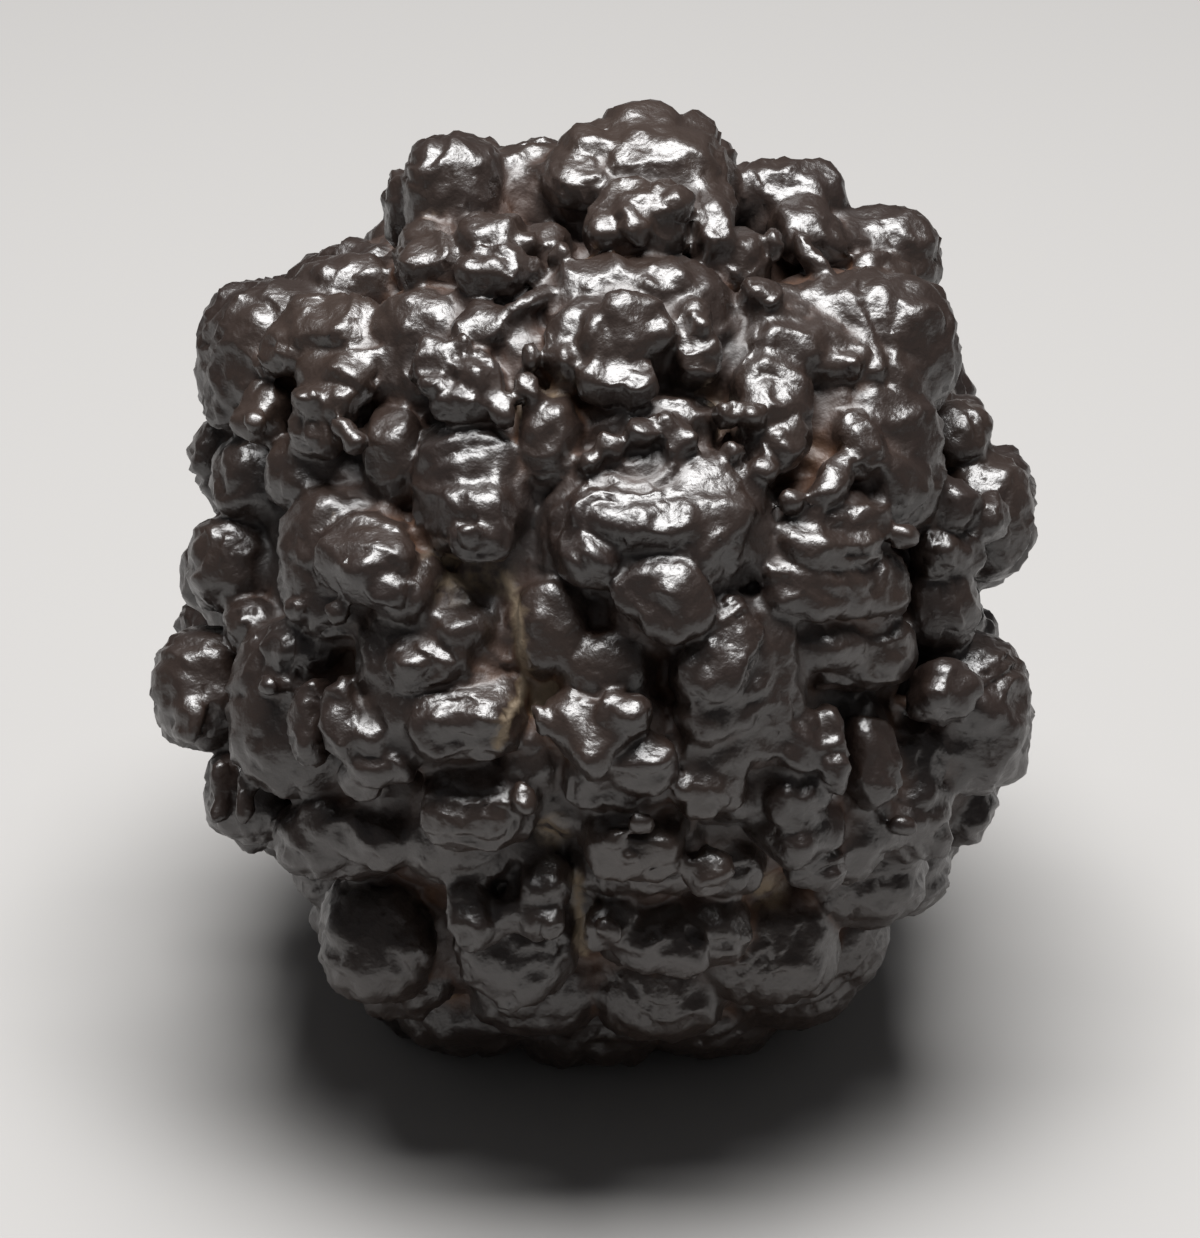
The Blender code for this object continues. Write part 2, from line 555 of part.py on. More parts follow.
def keep_largest_shell(mesh):
    """Removes closed pockets, which the skin makes where shapes close in on an empty space."""
    made = bmesh.new()
    made.from_mesh(mesh)
    unseen = set(made.verts)
    shells = []
    while unseen:
        shell = set()
        front = [unseen.pop()]
        while front:
            point = front.pop()
            shell.add(point)
            for edge in point.link_edges:
                other = edge.other_vert(point)
                if other in unseen:
                    unseen.discard(other)
                    front.append(other)
        shells.append(shell)
    shells.sort(key=len)
    extra = [point for shell in shells[:-1] for point in shell]
    bmesh.ops.delete(made, geom=extra, context="VERTS")
    made.to_mesh(mesh)
    made.free()


def fused_skin(heap, collection):
    """One smooth skin around the whole heap, as a mesh with about FACES_KEPT triangles."""
    rough = bpy.data.objects.new("heap of shapes", heap.mesh("heap of shapes"))
    collection.objects.link(rough)
    add_modifier(rough, "REMESH", mode="VOXEL", voxel_size=SKIN_CELL * METRES)
    skin = evaluated_mesh(rough)
    bpy.data.objects.remove(rough, do_unlink=True)
    keep_largest_shell(skin)
    smooth = bpy.data.objects.new("skin", skin)
    collection.objects.link(smooth)
    add_modifier(smooth, "SMOOTH", factor=0.5, iterations=SMOOTHING_ROUNDS)
    add_modifier(smooth, "TRIANGULATE")
    triangles = 2 * len(skin.polygons)
    add_modifier(smooth, "DECIMATE", ratio=FACES_KEPT / triangles)
    light = evaluated_mesh(smooth)
    bpy.data.objects.remove(smooth, do_unlink=True)
    return light


def stone_material():
    material = bpy.data.materials.new("limonite")
    material.use_nodes = True
    shader = material.node_tree.nodes["Principled BSDF"]
    shader.inputs["Base Color"].default_value = STONE_COLOUR
    shader.inputs["Roughness"].default_value = STONE_ROUGHNESS
    shader.inputs["Metallic"].default_value = STONE_METALLIC
    return material


def add_foot_cutter(collection):
    """A block under the ball, whose top is the plane of the worn foot."""
    bpy.ops.mesh.primitive_cube_add(size=FOOT_CUT_SIDE * METRES)
    cutter = bpy.context.object
    cutter.name = "foot_cutter"
    cutter.location.z = -FOOT_CUT_SIDE / 2 * METRES
    cutter.display_type = "WIRE"
    cutter.hide_render = True
    for other in list(cutter.users_collection):
        other.objects.unlink(cutter)
    collection.objects.link(cutter)
    return cutter


def main():
    clear_scene()
    parts = new_collection("limonite_concretion")
    cutters = new_collection("cutters", hidden=True)
    heap = Heap()
    heap.add_core(CORE_HALF_SIZES)
    add_seen_knobs(heap)
    add_seen_steps(heap)
    add_hidden_knobs(heap)
    whole = bpy.data.objects.new("whole ball", fused_skin(heap, parts))
    parts.objects.link(whole)
    add_modifier(whole, "BOOLEAN", operation="DIFFERENCE", solver="EXACT", object=add_foot_cutter(cutters))
    stone_mesh = evaluated_mesh(whole)
    bpy.data.objects.remove(whole, do_unlink=True)
    keep_largest_shell(stone_mesh)
    stone_mesh.name = "limonite_concretion"
    stone_mesh.materials.clear()
    stone_mesh.materials.append(stone_material())
    stone = bpy.data.objects.new("limonite_concretion", stone_mesh)
    parts.objects.link(stone)
    stone_mesh.shade_smooth()


main()
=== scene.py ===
import math

import bmesh
import bpy
import numpy as np
from mathutils import Euler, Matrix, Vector, noise


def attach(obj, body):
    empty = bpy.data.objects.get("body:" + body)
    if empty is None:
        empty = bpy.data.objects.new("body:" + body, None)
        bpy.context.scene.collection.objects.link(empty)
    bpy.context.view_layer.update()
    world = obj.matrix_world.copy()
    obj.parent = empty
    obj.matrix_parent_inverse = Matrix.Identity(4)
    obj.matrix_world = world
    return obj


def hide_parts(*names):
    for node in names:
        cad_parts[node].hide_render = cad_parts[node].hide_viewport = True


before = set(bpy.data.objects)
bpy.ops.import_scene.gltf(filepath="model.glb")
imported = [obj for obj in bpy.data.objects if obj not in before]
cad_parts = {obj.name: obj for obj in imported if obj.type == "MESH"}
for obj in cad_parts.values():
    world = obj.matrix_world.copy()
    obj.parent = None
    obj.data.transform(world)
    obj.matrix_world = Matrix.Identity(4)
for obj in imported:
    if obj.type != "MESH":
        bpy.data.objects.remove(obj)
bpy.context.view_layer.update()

mm = 0.001

# The ball: sizes in millimetres, places as seen from the front and 30 degrees above.
ball = {
    "coreHalfSizes": (23.8, 26.2, 26.2),
    "middle": (-0.54, 0.36, 31.0),
    "seenFromAbove": math.radians(30),
    "seenFrom": 320.0,
    "ballDetail": 4,
    "knobSquareness": 2.7,
    "stepOutline": 2.8,
    "stepEdge": 3.4,
    "unevenness": ((2, 0.05), (3, 0.06), (5, 0.035)),
    "outlineSeed": 11,
    "outlineMargin": 0.5,
}

# Right, up, reach of the middle, half width, half height, half depth.
knobs = {
    "crown": (4.1, 25.1, 27.0, 5.4, 4.8, 5.5),
    "crown ridge": (3.3, 28.0, 29.0, 3.2, 3.6, 4.0),
    "crown right bump": (6.5, 27.8, 29.1, 2.0, 3.1, 3.5),
    "crown shoulder": (-0.3, 26.6, 28.2, 2.2, 3.4, 4.0),
    "right saddle": (10.3, 25.4, 27.9, 2.2, 2.0, 4.0),
    "left saddle": (-4.2, 25.2, 26.3, 4.1, 3.5, 5.0),
    "smooth dome": (-9.2, 25.6, 28.7, 3.5, 3.8, 4.5),
    "dome edge": (-12.8, 24.6, 28.3, 1.0, 2.6, 3.0),
    "left shoulder": (-15.8, 19.3, 26.0, 4.0, 2.0, 4.0),
    "upper left pair, left": (-10.8, 21.0, 26.5, 2.4, 2.8, 4.0),
    "upper left pair, right": (-6.6, 21.2, 27.0, 2.5, 3.0, 4.0),
    "upper left pair, back": (-7.4, 23.2, 26.0, 2.8, 1.9, 4.0),
    "big left": (-19.7, 14.3, 25.5, 5.9, 5.4, 6.0),
    "big left, rim": (-23.8, 14.3, 28.2, 2.6, 4.4, 4.0),
    "big left, back": (-21.7, 17.2, 28.1, 3.9, 2.6, 4.0),
    "left hollow": (-22.0, 6.4, 24.0, 3.2, 3.2, 5.0),
    "left block": (-10.0, 14.3, 24.5, 5.1, 5.1, 4.6),
    "rimmed box": (2.6, 15.8, 24.5, 7.3, 5.6, 4.6),
    "upper right": (13.3, 24.3, 28.2, 3.6, 3.5, 4.0),
    "upper right, far": (19.5, 21.0, 29.1, 3.6, 3.6, 4.0),
    "smooth plate": (17.2, 15.1, 26.2, 7.1, 5.2, 6.0),
    "stepped right": (15.8, 8.0, 24.5, 7.5, 6.4, 4.6),
    "right rim": (25.8, 3.9, 26.7, 3.4, 4.2, 5.0),
    "right rim, upper": (24.0, 9.2, 26.4, 2.4, 2.5, 4.0),
    "below stepped right": (15.8, -0.6, 24.5, 5.3, 2.9, 4.6),
    "deep right": (16.5, -4.8, 24.3, 5.0, 2.8, 4.2),
    "broad centre": (4.2, 3.5, 24.5, 7.9, 5.3, 4.6),
    "broad centre, left": (-0.9, 3.0, 24.3, 2.8, 3.5, 4.2),
    "broad centre, right": (8.4, 3.6, 24.5, 3.4, 4.0, 4.6),
    "round centre": (4.9, -1.5, 24.5, 4.2, 3.7, 4.6),
    "bar box": (-7.6, 5.8, 24.5, 4.4, 4.8, 4.6),
    "left middle": (-15.8, 0.8, 24.5, 5.1, 5.4, 4.6),
    "big front": (-10.0, -6.0, 24.5, 5.7, 6.8, 4.6),
    "ribbed left": (-18.3, -8.6, 24.5, 5.9, 6.2, 4.6),
    "left point": (-25.8, -7.4, 27.4, 3.4, 4.0, 5.0),
    "left rim": (-23.8, 0.8, 24.7, 3.1, 3.2, 5.0),
    "left rim, lower": (-22.5, -3.2, 24.7, 1.9, 1.9, 4.0),
    "rusty left": (-22.5, -14.3, 27.2, 3.2, 3.3, 5.0),
    "long lower left": (-16.5, -17.3, 26.3, 4.6, 2.8, 5.0),
    "broad facet": (-8.3, -16.0, 24.5, 4.6, 4.5, 4.6),
    "crescent knob": (1.8, -11.2, 24.5, 4.6, 4.7, 4.6),
    "nested bands": (9.3, -6.5, 24.5, 4.8, 6.4, 4.6),
    "small crescent": (8.6, -13.8, 24.3, 3.5, 2.6, 4.2),
    "low middle": (2.8, -18.2, 24.5, 4.7, 3.3, 4.6),
    "nested shells": (15.8, -13.5, 24.5, 4.2, 6.9, 4.6),
    "right of shells": (20.5, -13.3, 26.0, 3.3, 5.6, 5.0),
    "right point": (24.6, -9.1, 27.0, 4.5, 5.4, 6.0),
    "small lower right": (8.6, -18.8, 24.3, 2.8, 2.5, 4.2),
    "lowest middle": (5.2, -23.2, 26.2, 5.3, 2.8, 5.0),
    "low left facets": (-5.1, -23.0, 26.0, 4.2, 5.1, 5.0),
    "lowest left": (-14.4, -24.0, 28.5, 3.8, 4.4, 5.0),
    "pale bumps": (3.5, 9.6, 24.3, 5.1, 2.6, 4.2),
    "between left and block": (-15.2, 12.5, 24.3, 2.8, 5.5, 4.2),
    "below big left": (-17.6, 7.0, 24.4, 4.2, 2.8, 4.2),
    "centre columns": (-2.6, -3.4, 24.4, 2.7, 3.6, 4.0),
    "beside crescent": (-3.9, -11.4, 24.4, 2.2, 3.2, 4.0),
    "red nodules": (-1.4, -14.8, 24.3, 2.8, 2.4, 3.6),
    "under red nodules": (-4.3, -17.6, 24.6, 2.4, 2.0, 3.6),
    "beside rimmed box": (9.6, 13.2, 24.0, 2.0, 4.4, 4.0),
    "between block and box": (-4.8, 13.2, 24.6, 1.9, 4.6, 4.2),
    "under saddle": (-3.0, 21.1, 25.8, 1.6, 2.4, 3.8),
    "beside pale bumps": (-2.9, 9.0, 24.9, 2.3, 3.4, 4.4),
    "above crescent": (0.9, -6.0, 24.6, 3.4, 2.8, 4.4),
    "behind right rim": (22.8, -1.6, 25.4, 2.8, 3.4, 4.4),
    "above smooth plate": (9.4, 20.6, 26.0, 2.4, 2.5, 4.2),
    "beside bar box": (-13.0, 8.0, 24.8, 2.3, 3.4, 4.2),
    "above nested shells": (12.4, -1.8, 24.2, 2.2, 3.0, 4.0),
    "below ribbed left": (-13.2, -13.6, 24.4, 2.6, 2.4, 4.2),
}

# Faces that look one way: right, up, reach, width, height, thickness, turn, look right, look up.
faces = {
    "crown": (
        (3.0, 25.0, 30.8, 6.4, 6.2, 4.0, -5, 0, 36),
        (5.2, 25.3, 31.6, 3.2, 3.0, 2.5, 0, 8, 35),
        (8.4, 24.2, 30.4, 3.0, 5.5, 4.0, -5, 20, 35),
    ),
    "left block": (
        (-10.8, 14.6, 30.8, 3.9, 3.8, 3.0, 0, -20, 20),
        (-7.5, 13.3, 30.2, 2.9, 4.8, 3.0, 10, -5, 20),
    ),
    "rimmed box": (
        (1.3, 17.0, 29.9, 9.5, 6.5, 4.0, 20, 3, 35),
        (2.3, 16.6, 31.0, 6.8, 4.8, 2.5, 28, 5, 12),
        (7.2, 16.3, 30.2, 2.9, 6.6, 3.5, 0, 18, 22),
    ),
    "upper right": (
        (14.8, 24.2, 30.6, 4.4, 5.0, 3.0, 0, 25, 45),
        (20.0, 20.7, 31.0, 5.0, 2.8, 3.0, -18, 30, 30),
    ),
    "smooth plate": (
        (16.8, 17.0, 30.2, 14.0, 8.0, 4.0, -15, 32, 45),
        (21.3, 11.5, 29.6, 3.8, 2.2, 2.5, 5, 35, 25),
    ),
    "stepped right": (
        (12.2, 12.6, 29.8, 5.4, 6.5, 4.0, -10, 12, 28),
        (20.6, 7.8, 30.2, 4.0, 6.0, 3.5, 25, 35, 28),
        (18.3, 9.6, 30.6, 2.6, 4.6, 3.0, 18, 25, 30),
        (16.4, 7.0, 30.4, 2.4, 4.6, 3.0, -38, 20, 32),
    ),
    "broad centre": (
        (4.5, 5.6, 29.7, 12.0, 6.5, 4.0, -4, 5, 50),
        (4.0, -1.3, 30.9, 5.0, 5.0, 4.0, 35, -5, 0),
        (6.2, -1.9, 31.6, 4.6, 4.8, 4.0, 30, 12, -3),
    ),
    "left middle": (
        (-15.5, 3.0, 29.8, 7.0, 6.0, 4.0, -35, -20, 55),
    ),
    "ribbed left": (
        (-19.7, -9.5, 30.6, 2.4, 5.8, 3.0, 0, -35, 5),
        (-17.4, -9.3, 31.0, 2.4, 5.8, 3.0, 3, -25, 10),
    ),
    "big left": (
        (-18.6, 17.6, 30.6, 8.0, 5.5, 4.0, 5, -35, 45),
        (-21.1, 15.9, 31.0, 3.6, 3.2, 2.5, 15, -40, 35),
        (-23.2, 11.6, 30.2, 3.0, 4.2, 3.0, 0, -50, 25),
        (-25.6, 14.0, 30.6, 3.2, 8.0, 4.0, 0, -70, 5),
    ),
    "crescent knob": (
        (-1.0, -9.6, 30.3, 3.8, 6.8, 4.0, 45, -15, 25),
        (2.2, -8.4, 30.8, 3.6, 3.0, 3.0, -20, 5, 35),
    ),
    "nested bands": (
        (8.8, -4.6, 30.5, 4.4, 7.5, 3.5, -35, 10, 15),
        (10.3, -6.3, 29.7, 5.8, 10.5, 3.5, -32, 25, 0),
        (10.4, -8.4, 28.8, 7.2, 12.0, 3.5, -32, 25, -5),
    ),
    "nested shells": (
        (14.0, -10.6, 29.6, 3.4, 4.4, 3.0, 0, 20, 10),
        (16.0, -11.0, 30.1, 2.2, 5.6, 3.0, 8, 10, 15),
        (19.5, -12.0, 29.7, 3.4, 5.8, 3.0, 5, 35, 10),
        (23.5, -16.0, 30.4, 2.4, 5.2, 3.0, 15, 60, 5),
    ),
    "right point": (
        (24.5, -6.8, 30.2, 4.2, 4.2, 4.0, -20, 35, 25),
        (27.0, -7.8, 30.4, 4.6, 4.8, 4.0, -30, 55, 25),
        (26.0, -11.5, 30.2, 5.2, 5.2, 4.0, 0, 55, -5),
    ),
    "right rim": (
        (25.0, 5.6, 30.0, 3.2, 3.2, 3.0, 0, 45, 30),
        (27.3, 4.8, 30.8, 2.8, 3.2, 3.0, 0, 55, 30),
    ),
    "lower edge": (
        (7.9, -19.0, 30.5, 3.0, 3.0, 3.0, -30, 10, 25),
        (-8.8, -22.2, 31.0, 3.2, 4.8, 4.0, 10, -25, 10),
    ),
}

# Treads, placed by their front edge: right, up, reach, width, depth, thickness, turn, looks.
ledges = {
    "crown": (
        (-0.3, 27.0, 31.0, 5.0, 6.0, 3.0, 22, -10, 65),
        (2.0, 29.6, 31.8, 5.0, 5.0, 3.0, 15, 0, 70),
    ),
    "upper left pair": (
        (-11.0, 21.2, 30.6, 4.2, 3.8, 3.0, 15, -15, 52),
        (-7.0, 20.4, 31.0, 4.8, 3.5, 2.5, 5, -8, 52),
    ),
    "big left": (
        (-18.3, 13.8, 31.0, 6.5, 5.0, 3.0, -5, -30, 58),
        (-19.0, 11.8, 31.2, 5.2, 4.0, 2.5, 0, -32, 52),
        (-20.0, 9.6, 30.4, 5.0, 3.5, 2.5, -15, -35, 45),
        (-23.1, 14.4, 30.6, 3.2, 4.0, 3.0, -10, -48, 50),
    ),
    "left block": (
        (-8.3, 16.4, 30.4, 3.6, 3.5, 3.0, -15, -12, 45),
        (-9.6, 12.0, 31.3, 3.6, 3.8, 2.5, -5, -12, 55),
    ),
    "rimmed box": (
        (0.6, 13.0, 30.8, 3.0, 3.2, 2.5, 0, 0, 45),
        (3.3, 13.0, 30.9, 2.8, 3.2, 2.5, 15, 5, 45),
    ),
    "upper right": (
        (18.8, 22.4, 31.0, 5.6, 4.2, 3.0, -10, 35, 55),
    ),
    "smooth plate": (
        (17.6, 14.0, 30.6, 5.0, 5.0, 3.0, 0, 25, 50),
        (22.0, 13.4, 30.3, 5.2, 5.0, 2.5, 8, 40, 55),
    ),
    "stepped right": (
        (14.2, 9.4, 30.4, 4.8, 4.8, 3.0, 35, 15, 50),
        (17.5, 4.3, 30.5, 8.0, 6.0, 2.5, 0, 25, 60),
        (16.8, 2.5, 30.9, 8.2, 6.0, 2.5, 0, 25, 60),
        (15.8, -0.2, 30.3, 8.2, 4.2, 2.2, -3, 25, 50),
        (16.2, -1.8, 30.3, 7.8, 4.2, 2.2, 3, 25, 45),
        (17.0, -4.4, 29.4, 5.8, 4.0, 3.0, 8, 30, 50),
    ),
    "right rim": (
        (25.5, 1.5, 29.9, 5.0, 3.6, 3.0, 5, 45, 45),
    ),
    "broad centre": (
        (-0.9, 1.8, 30.9, 4.6, 5.2, 3.5, -10, -5, 55),
        (8.8, 2.1, 31.1, 5.0, 5.4, 4.0, 15, 15, 55),
    ),
    "bar box": (
        (-7.9, 5.6, 30.7, 5.8, 7.0, 4.5, 0, -5, 68),
        (-7.3, 3.0, 30.4, 4.2, 4.0, 2.5, 0, 0, 60),
    ),
    "left middle": (
        (-16.6, 1.3, 30.3, 4.4, 5.0, 3.5, -30, -20, 50),
        (-14.0, -1.1, 30.5, 4.2, 4.6, 3.5, -25, -15, 45),
    ),
    "big front": (
        (-9.6, -2.9, 29.5, 4.8, 6.0, 3.0, 0, -10, 65),
        (-11.2, -5.0, 30.3, 6.8, 7.0, 3.0, 5, -15, 62),
        (-9.4, -9.1, 31.4, 7.4, 8.0, 4.5, -5, -10, 58),
    ),
    "ribbed left": (
        (-20.4, -4.7, 29.0, 5.6, 4.0, 3.0, 10, -30, 50),
        (-21.8, -7.3, 29.7, 3.5, 4.0, 3.0, 0, -40, 45),
        (-15.3, -10.6, 31.1, 3.2, 4.0, 3.0, 10, -15, 45),
        (-14.2, -12.5, 31.1, 4.6, 4.0, 2.5, 15, -15, 50),
        (-16.3, -13.5, 30.7, 2.8, 3.0, 2.5, -10, -20, 45),
    ),
    "broad facet": (
        (-8.4, -16.2, 31.2, 8.2, 5.6, 4.5, -3, -10, 38),
    ),
    "long lower left": (
        (-17.5, -17.0, 30.4, 9.0, 5.0, 4.0, -12, -25, 45),
    ),
    "lowest left": (
        (-15.7, -24.7, 31.0, 6.6, 5.0, 4.0, -10, -25, 45),
        (-13.7, -28.0, 31.2, 5.0, 3.0, 3.0, 5, -20, 45),
    ),
    "low left facets": (
        (-5.4, -22.6, 31.0, 3.6, 4.0, 3.0, -20, -10, 40),
        (-3.4, -21.0, 30.4, 3.6, 3.4, 3.0, 0, -5, 40),
        (-4.0, -27.0, 31.3, 3.4, 3.2, 3.0, 10, 0, 40),
    ),
    "lowest middle": (
        (4.2, -24.4, 31.0, 5.6, 5.0, 3.5, 0, 8, 45),
        (6.5, -25.0, 31.4, 3.8, 3.8, 3.0, 0, 15, 45),
        (0.9, -23.6, 30.6, 3.4, 4.0, 3.0, -10, 0, 40),
    ),
    "low middle": (
        (3.2, -17.8, 31.0, 7.6, 5.6, 4.0, 0, 5, 48),
    ),
    "crescent knob": (
        (4.0, -12.2, 31.6, 4.4, 4.2, 3.5, 15, 5, 50),
    ),
    "small crescent": (
        (8.9, -13.9, 30.9, 4.8, 4.6, 3.5, 15, 12, 50),
    ),
    "nested bands": (
        (7.6, -6.9, 31.2, 3.8, 5.0, 3.0, 0, 8, 50),
        (7.5, -9.5, 30.9, 3.0, 3.4, 2.5, 0, 8, 45),
    ),
    "nested shells": (
        (14.8, -14.2, 30.5, 5.2, 6.0, 3.5, 20, 15, 50),
        (15.8, -17.2, 31.0, 5.8, 5.4, 3.5, 25, 20, 45),
        (15.0, -19.4, 30.8, 4.0, 3.2, 2.5, -15, 15, 45),
        (21.0, -16.7, 30.7, 5.2, 4.2, 3.0, 0, 30, 45),
    ),
}

# Small knobs and facets that only the dressed stone has, as in faces.
fineFaces = (
    (2.9, 24.5, 31.3, 2.4, 4.0, 1.6, 0, 0, 30), (5.3, 25.2, 31.9, 1.8, 1.8, 1.2, 0, 5, 30),
    (0.9, 23.6, 30.4, 2.4, 2.6, 1.6, 0, 0, 30), (7.2, 26.7, 30.9, 1.6, 3.0, 1.6, 0, 15, 40),
    (9.1, 25.7, 30.4, 1.5, 2.4, 1.6, 0, 30, 40), (-19.5, 18.7, 31.0, 2.6, 1.6, 1.4, 10, -35, 50),
    (-19.3, 12.2, 31.4, 1.8, 1.4, 1.4, 0, -30, 45), (-17.0, 10.4, 30.8, 1.4, 1.4, 1.4, 0, -25, 35),
    (-16.1, 9.3, 30.6, 1.4, 1.4, 1.4, 0, -25, 35), (-23.0, 10.7, 30.7, 1.4, 1.4, 1.4, 0, -45, 35),
    (-11.2, 14.9, 31.2, 1.8, 1.5, 1.4, 0, -15, 35), (-10.9, 13.3, 31.3, 1.8, 1.4, 1.4, 0, -15, 35),
    (-9.0, 16.0, 31.0, 1.4, 1.4, 1.2, 20, -10, 40), (-8.6, 14.2, 31.0, 1.6, 1.6, 1.2, 0, -10, 30),
    (-7.6, 13.5, 30.9, 1.2, 1.6, 1.2, 0, -5, 25), (-5.9, 11.5, 30.2, 1.5, 2.5, 1.6, 0, 0, 30),
    (-4.4, 13.0, 30.0, 1.6, 1.7, 1.6, 0, 0, 30), (-4.2, 15.0, 30.0, 1.0, 1.6, 1.6, 0, 0, 30),
    (-4.7, 18.5, 30.0, 2.4, 1.0, 1.4, 40, -5, 40), (-4.4, 22.9, 29.8, 1.6, 1.6, 1.6, 0, -5, 45),
    (-4.2, 21.0, 29.6, 1.5, 1.5, 1.6, 0, -5, 45), (-2.2, 22.1, 29.8, 1.5, 1.5, 1.6, 0, 0, 45),
    (-1.7, 20.7, 29.6, 1.4, 1.4, 1.6, 0, 0, 45), (-3.3, 19.4, 29.5, 1.5, 1.4, 1.6, 0, 0, 40),
    (1.2, 9.1, 29.6, 2.0, 1.9, 2.0, 0, 0, 25), (3.2, 10.0, 29.8, 2.0, 1.9, 2.0, 0, 3, 25),
    (4.9, 10.5, 29.8, 1.9, 1.9, 2.0, 0, 5, 25), (6.2, 9.6, 29.7, 1.9, 1.8, 2.0, 0, 8, 25),
    (5.5, 8.7, 29.5, 1.6, 1.6, 2.0, 0, 8, 20), (-0.2, 8.0, 29.5, 1.7, 1.7, 2.0, 0, 0, 20),
    (-1.9, 15.0, 30.2, 1.5, 1.6, 1.6, 0, -3, 30), (7.2, 17.6, 30.9, 1.6, 2.6, 1.4, 0, 18, 35),
    (11.4, 19.5, 30.4, 2.6, 2.4, 1.6, -10, 15, 45), (17.3, 14.7, 31.0, 1.1, 1.8, 1.4, 20, 20, 40),
    (18.2, 15.3, 31.1, 1.1, 1.6, 1.4, 20, 25, 40), (19.0, 14.2, 31.0, 1.4, 1.4, 1.4, 0, 25, 35),
    (10.8, 11.2, 30.6, 1.8, 1.6, 1.4, 0, 12, 35), (9.2, 11.3, 30.0, 1.5, 1.6, 1.6, 0, 10, 30),
    (11.5, 7.5, 29.8, 1.8, 2.0, 1.8, 0, 15, 25), (9.5, 8.7, 29.6, 1.5, 1.5, 1.8, 0, 12, 25),
    (13.5, 5.5, 30.0, 1.8, 1.5, 1.6, 0, 18, 30), (20.9, 3.2, 30.4, 2.2, 1.4, 1.4, 0, 35, 35),
    (12.3, 23.0, 30.2, 1.2, 2.4, 1.6, 0, 15, 40), (14.3, 22.5, 30.4, 1.2, 2.4, 1.6, 0, 20, 40),
    (15.2, 21.6, 30.4, 1.2, 2.0, 1.6, 0, 20, 40), (16.6, 22.8, 30.5, 1.2, 2.2, 1.6, 0, 25, 40),
    (8.2, 3.4, 31.0, 1.9, 1.9, 1.4, 0, 12, 35), (-8.3, 3.2, 31.0, 1.6, 1.3, 1.4, 0, -8, 35),
    (-16.5, 1.9, 30.9, 2.7, 1.8, 1.4, -10, -25, 35), (-14.0, -0.5, 30.9, 2.7, 2.0, 1.4, -10, -20, 30),
    (-20.2, -1.7, 30.2, 1.6, 1.4, 1.6, 0, -35, 30), (-17.3, -2.0, 30.3, 1.6, 1.5, 1.6, 0, -25, 30),
    (-22.0, -6.8, 30.3, 1.5, 1.3, 1.4, 0, -40, 35), (-17.7, -10.8, 31.4, 1.3, 1.3, 1.3, 0, -25, 30),
    (-27.8, -9.4, 31.0, 3.4, 3.0, 1.6, 0, -65, 5), (-4.7, -14.5, 30.4, 1.6, 2.0, 1.6, 0, -5, 20),
    (-25.4, -14.2, 31.0, 0.9, 4.0, 1.4, 0, -60, 5), (-23.8, -14.4, 31.0, 0.9, 4.0, 1.4, 0, -50, 5),
    (1.5, -10.8, 31.2, 1.2, 1.2, 1.2, 0, 3, 20), (3.2, -9.4, 31.2, 1.3, 1.2, 1.2, 0, 6, 30),
    (-3.6, -9.3, 30.0, 0.9, 2.0, 1.4, 20, -5, 20), (6.2, -14.0, 30.4, 1.4, 1.3, 1.4, 0, 10, 25),
    (3.3, -16.2, 31.0, 1.6, 1.3, 1.3, 0, 5, 30), (1.6, -17.2, 30.8, 1.4, 1.2, 1.3, 0, 0, 30),
    (2.5, -18.4, 31.0, 1.5, 1.2, 1.3, 0, 5, 25), (23.0, -10.2, 31.0, 1.8, 1.8, 1.4, 0, 45, 10),
    (22.7, -6.6, 31.0, 1.6, 1.3, 1.3, -20, 40, 35), (21.0, -16.3, 31.1, 1.8, 1.5, 1.3, 0, 30, 30),
    (-6.4, -21.2, 31.3, 0.9, 3.0, 1.3, -15, -12, 25), (-2.6, -22.8, 30.9, 1.5, 1.6, 1.4, 0, -5, 25),
    (-5.7, -28.2, 31.6, 1.8, 1.6, 1.4, 0, -8, 10), (-18.4, -22.5, 31.2, 1.0, 3.2, 1.4, 0, -35, 5),
    (-12.3, -22.4, 31.3, 1.8, 1.6, 1.4, 0, -20, 30), (1.0, -23.3, 31.0, 1.6, 1.3, 1.3, 0, 0, 30),
)

underFront = (
    (12.4, -25.4, -2.0, 5.2, 4.8, 6.0),
    (19.4, -19.0, 0.0, 4.2, 3.6, 5.5),
    (7.6, -27.6, -3.5, 5.2, 4.6, 5.6),
    (-0.2, -28.2, -4.0, 5.6, 4.7, 5.6),
    (-8.2, -27.4, -3.5, 5.2, 4.6, 5.6),
    (15.6, -23.0, -2.0, 4.2, 4.6, 6.0),
    (-3.6, -26.0, 4.0, 4.6, 4.0, 4.6),
    (4.4, -26.2, 5.0, 4.6, 4.0, 4.6),
    (11.2, -23.6, 6.5, 4.8, 4.2, 4.8),
    (17.4, -18.6, 7.5, 4.2, 4.0, 4.6),
)

# The outline as seen: degrees around from the right, and how far out it is.
outline = (
    (4, 29.0), (12, 30.4), (19, 28.3), (25, 27.3), (32, 29.5), (44, 32.4), (58, 32.0), (70, 30.8),
    (84, 32.4), (94, 29.3), (108, 31.6), (121, 27.8), (131, 28.0), (146, 31.8), (157, 29.2),
    (170, 24.2), (180, 27.3), (194, 30.9), (204, 29.0), (214, 30.8), (224, 28.0), (241, 32.8),
    (260, 32.2), (288, 33.0), (306, 31.5), (321, 30.2), (339, 31.9), (350, 27.4), (355, 25.4),
)

